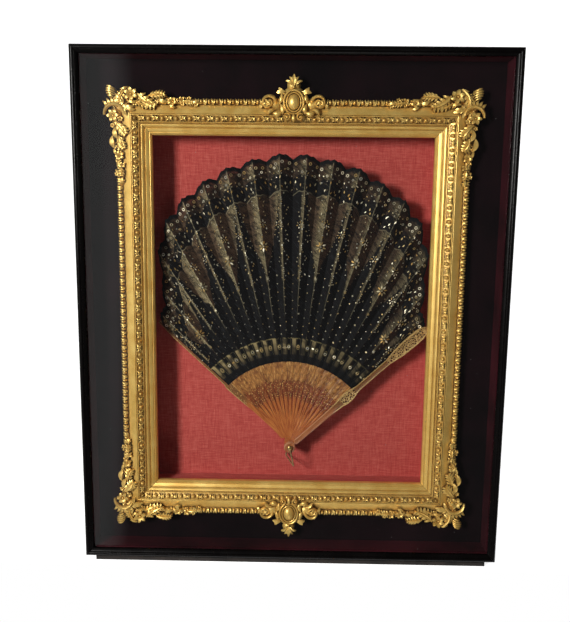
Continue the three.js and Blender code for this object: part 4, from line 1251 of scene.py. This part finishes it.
class GoreSpots:
    """Where one gore's spangles sit: the kind, place, distance from the rivet, size and turn of each."""

    def __init__(self, index):
        self.index = index
        self.middle = index + 0.5
        self.pick = random.Random(100 + index)
        self.top = float(inner_top(self.middle))
        self.start = LEAF_INNER + PANEL_START * (self.top - LEAF_INNER)
        self.spots = []
        self.net()
        self.hem()
        if index in PANEL_GORES:
            self.panel()
        else:
            self.chains()
        self.panel_edges()
        self.dark_band()
        self.border()

    def sway(self, most):
        return self.pick.uniform(-most, most)

    def put(self, kind, where, radius, size, turn=0.0):
        if self.index + 0.02 < where < self.index + 0.98 and radius < leaf_edge(where) - 3:
            self.spots.append((kind, where, radius, size, turn))

    def flower(self, where, radius, arms, reach, size):
        width = math.radians(GAP) * radius
        for angle in round_angles(arms) + 0.2:
            aside = 0.87 * reach * math.sin(angle) / width
            self.put("leaf", where + aside, radius + reach * math.cos(angle), size, -angle)
        self.put("dot", where, radius, size * 0.4)

    def net(self):
        """Dots on the net, in staggered columns."""
        for column, offset in ((0.06, 0.0), (0.55, 0.5)):
            for row in range(10):
                radius = 144 + (row + offset) * 10.5
                if radius < self.start + 6:
                    size = 1.2 if self.pick.random() < 0.08 else self.pick.uniform(0.55, 0.75)
                    self.put("dot", self.index + column + self.sway(0.03), radius, size)

    def hem(self):
        """A ring in the dark cell above the hem, and here and there an oval on the pale bar."""
        self.put("ring", self.index + 0.77, 127.5 + self.sway(0.8), 1.9, math.pi / 2)
        if self.index % 3 == 2:
            size = 2.6 if self.index == GORES // 2 - 1 else 1.5
            self.put("oval", self.index + 0.34, 128 + self.sway(1.5), size, math.pi / 2)

    def panel(self):
        """A star at the foot of a gauze panel, a flower above it and a winding sprig."""
        star = self.start + 0.38 * (self.top - self.start)
        self.flower(self.middle, star, 8, 4.6, 2.6)
        self.flower(self.middle + 0.1, star + 27, 7, 3.6, 1.5)
        self.put("dot", self.middle, self.start - 2, 1.5)
        for step in range(13):
            radius = star + 12 + step * 4.6
            if radius < self.top - 4:
                swing = 0.26 * math.sin(step * 0.9)
                self.put("leaf", self.middle + swing, radius, 1.5, self.sway(0.7))
                self.put("dot", self.middle - swing, radius + 2, 0.75)

    def chains(self):
        """Two winding chains with leaves beside them, and a small flower."""
        self.flower(self.middle - 0.16, self.start + 0.6 * (self.top - self.start), 6, 3.4, 1.5)
        for step in range(22):
            radius = self.start - 4 + step * 5.0
            if radius < self.top - 3:
                swing = 0.13 * math.sin(step * 1.1)
                self.put("dot", self.middle + swing - 0.1, radius, 0.85)
                self.put("dot", self.middle - swing + 0.12, radius + 2.4, 0.85)
                if step % 4 == 1:
                    self.put("leaf", self.middle + 0.3, radius, 1.5, self.sway(0.5))

    def panel_edges(self):
        """A broken chain along each panel's edge, where it crosses this gore."""
        for centre in PANEL_GORES:
            for side in (-1, 1):
                for step in range(18):
                    radius = self.start + step * 6.1
                    reach = (radius - LEAF_INNER) / (self.top - LEAF_INNER)
                    where = centre + 0.5 + side * (float(panel_half_width(reach)) + 0.05)
                    if radius < self.top - 3 and math.sin(radius * 0.11 + self.index) > -0.6:
                        self.put("dot", where, radius, 0.6)

    def dark_band(self):
        """Leaves and dots in the dark band."""
        for step in range(5):
            where = self.index + (step + 0.5) / 5
            edge = float(leaf_edge(where))
            self.put("leaf", where, edge - 28 - 7 * (step % 2) + self.sway(2), 2.1, self.sway(0.5))
            self.put("dot", where + 0.05, edge - 24 + self.sway(2), 0.8)
            if self.pick.random() < 0.7:
                self.put("leaf", where + 0.06, edge - 38 + self.sway(2), 1.7, self.sway(0.8))

    def border(self):
        """Rings in the outer gauze, with dots and leaves below them."""
        for step in range(4):
            where = self.index + (step + 0.5) / 4 + self.sway(0.04)
            edge = float(leaf_edge(where))
            self.put("ring", where, edge - 8.5 + self.sway(1.2), 2.05)
            self.put("dot", where + 0.1, edge - 17 + self.sway(2), 0.9)
            kind = "ring" if step % 2 else "leaf"
            self.put(kind, where - 0.06, edge - 17 + self.sway(3), 1.6, self.sway(1.2))


def spangle_axes(where, radius, turn, pick):
    """A spangle's centre on the leaf, its two directions in its plane, and its normal tilted by chance."""
    centre = leaf_surface(where, radius, 0.5)
    aside = leaf_surface(where + 0.02, radius, 0.5) - centre
    normal = unit(np.cross(aside, leaf_surface(where, radius + 1, 0.5) - centre))
    if normal[1] > 0:
        normal = -normal
    normal = unit(normal + [pick.gauss(0, 0.16), 0, pick.gauss(0, 0.16)])
    aside = unit(aside - normal * aside.dot(normal))
    upward = np.cross(normal, aside)
    if upward[2] < 0:
        upward = -upward
    spun = aside * math.cos(turn) + upward * math.sin(turn)
    risen = upward * math.cos(turn) - aside * math.sin(turn)
    return centre, np.array([spun, risen, normal])


def leaf_spangles(index, material):
    layout = GoreSpots(index)
    body = Body()
    tints = []
    for kind, where, radius, size, turn in layout.spots:
        form, tone = SPANGLES[kind]
        points, faces = form(size)
        centre, axes = spangle_axes(where, radius, turn, layout.pick)
        body.add(centre + points @ axes, faces)
        tone += layout.pick.uniform(-0.35, 0.14)
        # Painted glint: a fifth of the larger spangles take the near-white tone.
        if kind != "dot" and layout.pick.random() < 0.2:
            tone = 1.0
        tints.extend([max(0.0, tone)] * len(points))
    name = f"spangles_{index + 1:02d}"
    piece = new_piece(name, body.points, body.faces, material, None, 30, {"tint": tints}, tidy=False)
    join_blades(piece)
    return piece


# Rivet and loop

def rivet(material):
    """A pin with a low domed head at each end, turned from a profile of radius and depth."""
    sides = 24
    profile = [(0.05, 34.35), (1.4, 34.42), (2.4, 34.7), (3.0, 35.1), (3.2, 35.35), (1.5, 35.35), (1.5, 65.2),
               (3.2, 65.2), (3.0, 65.7), (1.6, 66.15), (0.05, 66.2)]
    angle = round_angles(sides)
    rings = [
        np.column_stack([
            PIVOT_X + radius * np.cos(angle), np.full(sides, y_at(depth)), PIVOT_Z + radius * np.sin(angle),
        ])
        for radius, depth in profile
    ]
    piece = new_piece("rivet", np.vstack(rings), capped_faces(len(profile), sides), material, angle=40)
    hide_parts("rivet_pin")


def wire_loop(material):
    """A bent wire with an eye at each end of the rivet."""
    front, back = 36.45, 64.1
    corners = np.array([(0.55, -2.4, front), (5.5, -24, front), (-5, -19, back), (-0.65, -2.47, back)])
    bends = [rounded_corner(*corners[first:first + 3], 2.5, 7) for first in (0, 1)]
    x, z, depth = np.vstack([corners[:1], *bends, corners[3:]]).T
    body = Body()
    tube(body, np.column_stack([x, y_at(depth), z]), 0.95, 12)
    angle = np.linspace(0, 2 * math.pi, 33)
    for place in (front, back):
        eye = np.column_stack([2.25 * np.cos(angle), np.full(33, y_at(place)), 2.25 * np.sin(angle)])
        tube(body, eye, 0.62, 10, closed=True)
    points = np.asarray(body.points) + [PIVOT_X, 0, PIVOT_Z]
    piece = new_piece("wire_loop", points, body.faces, material, "loop", 60)
    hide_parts("loop")


def tube(body, path, radius, sides, closed=False):
    """A round wire along a path, in any direction; a closed path ends where it starts."""
    along = np.gradient(path, axis=0)
    if closed:
        path = path[:-1]
        along = np.roll(path, -1, axis=0) - np.roll(path, 1, axis=0)
    rings = []
    side = np.cross(along[0], [0.3, 0.2, 0.9])
    for point, way in zip(path, along):
        way = unit(way)
        side = unit(side - way * side.dot(way))
        other = np.cross(way, side)
        for angle in round_angles(sides):
            rings.append(point + radius * (side * math.cos(angle) + other * math.sin(angle)))
    body.add(rings, ring_faces(len(path), sides, True) if closed else capped_faces(len(path), sides))


# Flat pieces that keep their CAD shape

def finish_nodes(materials):
    finishes = {
        "box_wood": ["box_side_left", "box_side_right", "box_side_top", "box_side_bottom", "plinth_batten"],
        "glass": ["glass_pane"],
        "liner": ["velvet_liner"],
        "velvet": ["velvet_board"],
        "red": ["well_box", "fan_panel", "support_pad"],
        "board": ["backboard"],
        "brass": [name for name in nodes if name.startswith(("turn_button", "hanger"))],
    }
    for kind, names in finishes.items():
        for name in names:
            mesh = nodes[name].data
            mesh.materials.clear()
            mesh.materials.append(materials[kind])
            bevel = nodes[name].modifiers.new("soft_edges", "BEVEL")
            bevel.width = (0.15 if kind == "glass" else 0.4) * MM
            bevel.segments = 2
            bevel.limit_method = "ANGLE"


# Studio

def floor(material):
    """A floor that turns up into a backdrop. It ends near the front of the case, out of the glass's view."""
    turn = np.linspace(0, math.pi / 2, 9)
    bend = [(2.0 + 1.5 * math.sin(angle), 1.5 - 1.5 * math.cos(angle)) for angle in turn]
    section = [(-0.05, 0.0), *bend, (3.5, 6.0)]
    points = [(side * 5.0, y, z - 0.0005) for y, z in section for side in (-1, 1)]
    faces = [(2 * row, 2 * row + 1, 2 * row + 3, 2 * row + 2) for row in range(len(section) - 1)]
    sweep = new_piece("floor", np.asarray(points) / MM, faces, material, None, None, tidy=False)


def area_light(name, place, target, size, energy, colour):
    """A rectangular light that reaches everything but the glass, so that the glass doesn't mirror it."""
    data = bpy.data.lights.new(name, "AREA")
    data.shape = "RECTANGLE"
    data.size, data.size_y = size
    data.energy = energy
    data.color = colour
    light = bpy.data.objects.new(name, data)
    bpy.context.scene.collection.objects.link(light)
    light.location = place
    light.rotation_euler = (Vector(target) - Vector(place)).to_track_quat("-Z", "Y").to_euler()
    unlit = bpy.data.collections.new(f"unlit_by_{name}")
    unlit.objects.link(nodes["glass_pane"])
    light.light_linking.receiver_collection = unlit
    unlit.collection_objects[0].light_linking.link_state = "EXCLUDE"


def studio():
    """A window to the left, two weak lights, and a dim room that the camera itself sees as white."""
    area_light("window", (-0.97, -1.4, 0.68), (0.0, 0.03, 0.28), (0.3, 0.4), 32, (1.0, 0.98, 0.95))
    area_light("fill", (0.95, -0.85, 0.3), (0.0, 0.0, 0.25), (0.7, 0.7), 0.2, (1.0, 0.96, 0.9))
    area_light("bounce", (0.1, -1.0, -1.1), (0.0, 0.0, 0.2), (0.8, 0.5), 3.2, (1.0, 0.97, 0.92))
    room = Nodes("studio", "worlds")
    room.tree.nodes.clear()
    bpy.context.scene.world = room.owner
    # Dark straight ahead of the glass, a pale window wall to its left, and soft light above and beside
    way = room.out("TexCoord", output="Generated")
    x = room.out("SeparateXYZ", {0: way}, "X")
    z = room.out("SeparateXYZ", {0: way}, "Z")
    soft = (z * 0.45 | z * -0.64 | abs(x)).step(0.28, 0.6) * 0.048 + 0.04
    wall = x.step(-0.205, -0.25) * 0.38 * (x.step(-0.7, -0.45) * 0.8 + 0.2)
    dim = room.out("Background", {"Color": (1, 1, 1, 1), "Strength": soft | wall})
    white = room.out("Background", {"Color": (1, 1, 1, 1)})
    seen = room.out("LightPath", output="Is Camera Ray")
    end = room.tree.nodes.new("ShaderNodeOutputWorld")
    room.feed(end.inputs["Surface"], room.out("MixShader", {0: seen, 1: dim, 2: white}))
    bpy.context.scene.view_settings.view_transform = "Standard"


def camera():
    data = bpy.data.cameras.new("camera")
    data.sensor_width = 36
    data.lens = FOCAL_LENGTH * data.sensor_width / PICTURE_HEIGHT
    view = bpy.data.objects.new("camera", data)
    bpy.context.scene.collection.objects.link(view)
    yaw, pitch, roll = (math.radians(angle) for angle in CAMERA_ANGLES)
    forward = Vector((math.sin(yaw) * math.cos(pitch), math.cos(yaw) * math.cos(pitch), math.sin(pitch)))
    level = Vector((math.cos(yaw), -math.sin(yaw), 0))
    upright = level.cross(forward)
    right = level * math.cos(roll) + upright * math.sin(roll)
    up = upright * math.cos(roll) - level * math.sin(roll)
    matrix = Matrix((right, up, -forward)).transposed().to_4x4()
    matrix.translation = CAMERA_PLACE
    view.matrix_world = matrix
    bpy.context.scene.camera = view


def main():
    gold = gilt()
    wire = brass("loop_wire", (176, 148, 104), (104, 82, 54), 0.35)
    case_moulding(lacquer())
    gilt_rails(gold)
    ornaments(gold)
    finish_nodes({
        "box_wood": box_wood(), "glass": glass(), "red": red_cloth(),
        "velvet": velvet("crimson_velvet", (9, 4, 6), (26, 10, 15)),
        # The liner is the same velvet painted lighter: painted light where the window falls on its walls.
        "liner": velvet("painted_lit_velvet", (32, 9, 14), (68, 22, 31)),
        "board": brown_board(), "brass": brass(),
    })
    sticks()
    leaf_gores(lace(), spangle_metal())
    rivet(brass("bright_brass", (236, 206, 140), (160, 120, 60)))
    wire_loop(wire)
    floor(pale_floor())
    camera()
    studio()


main()
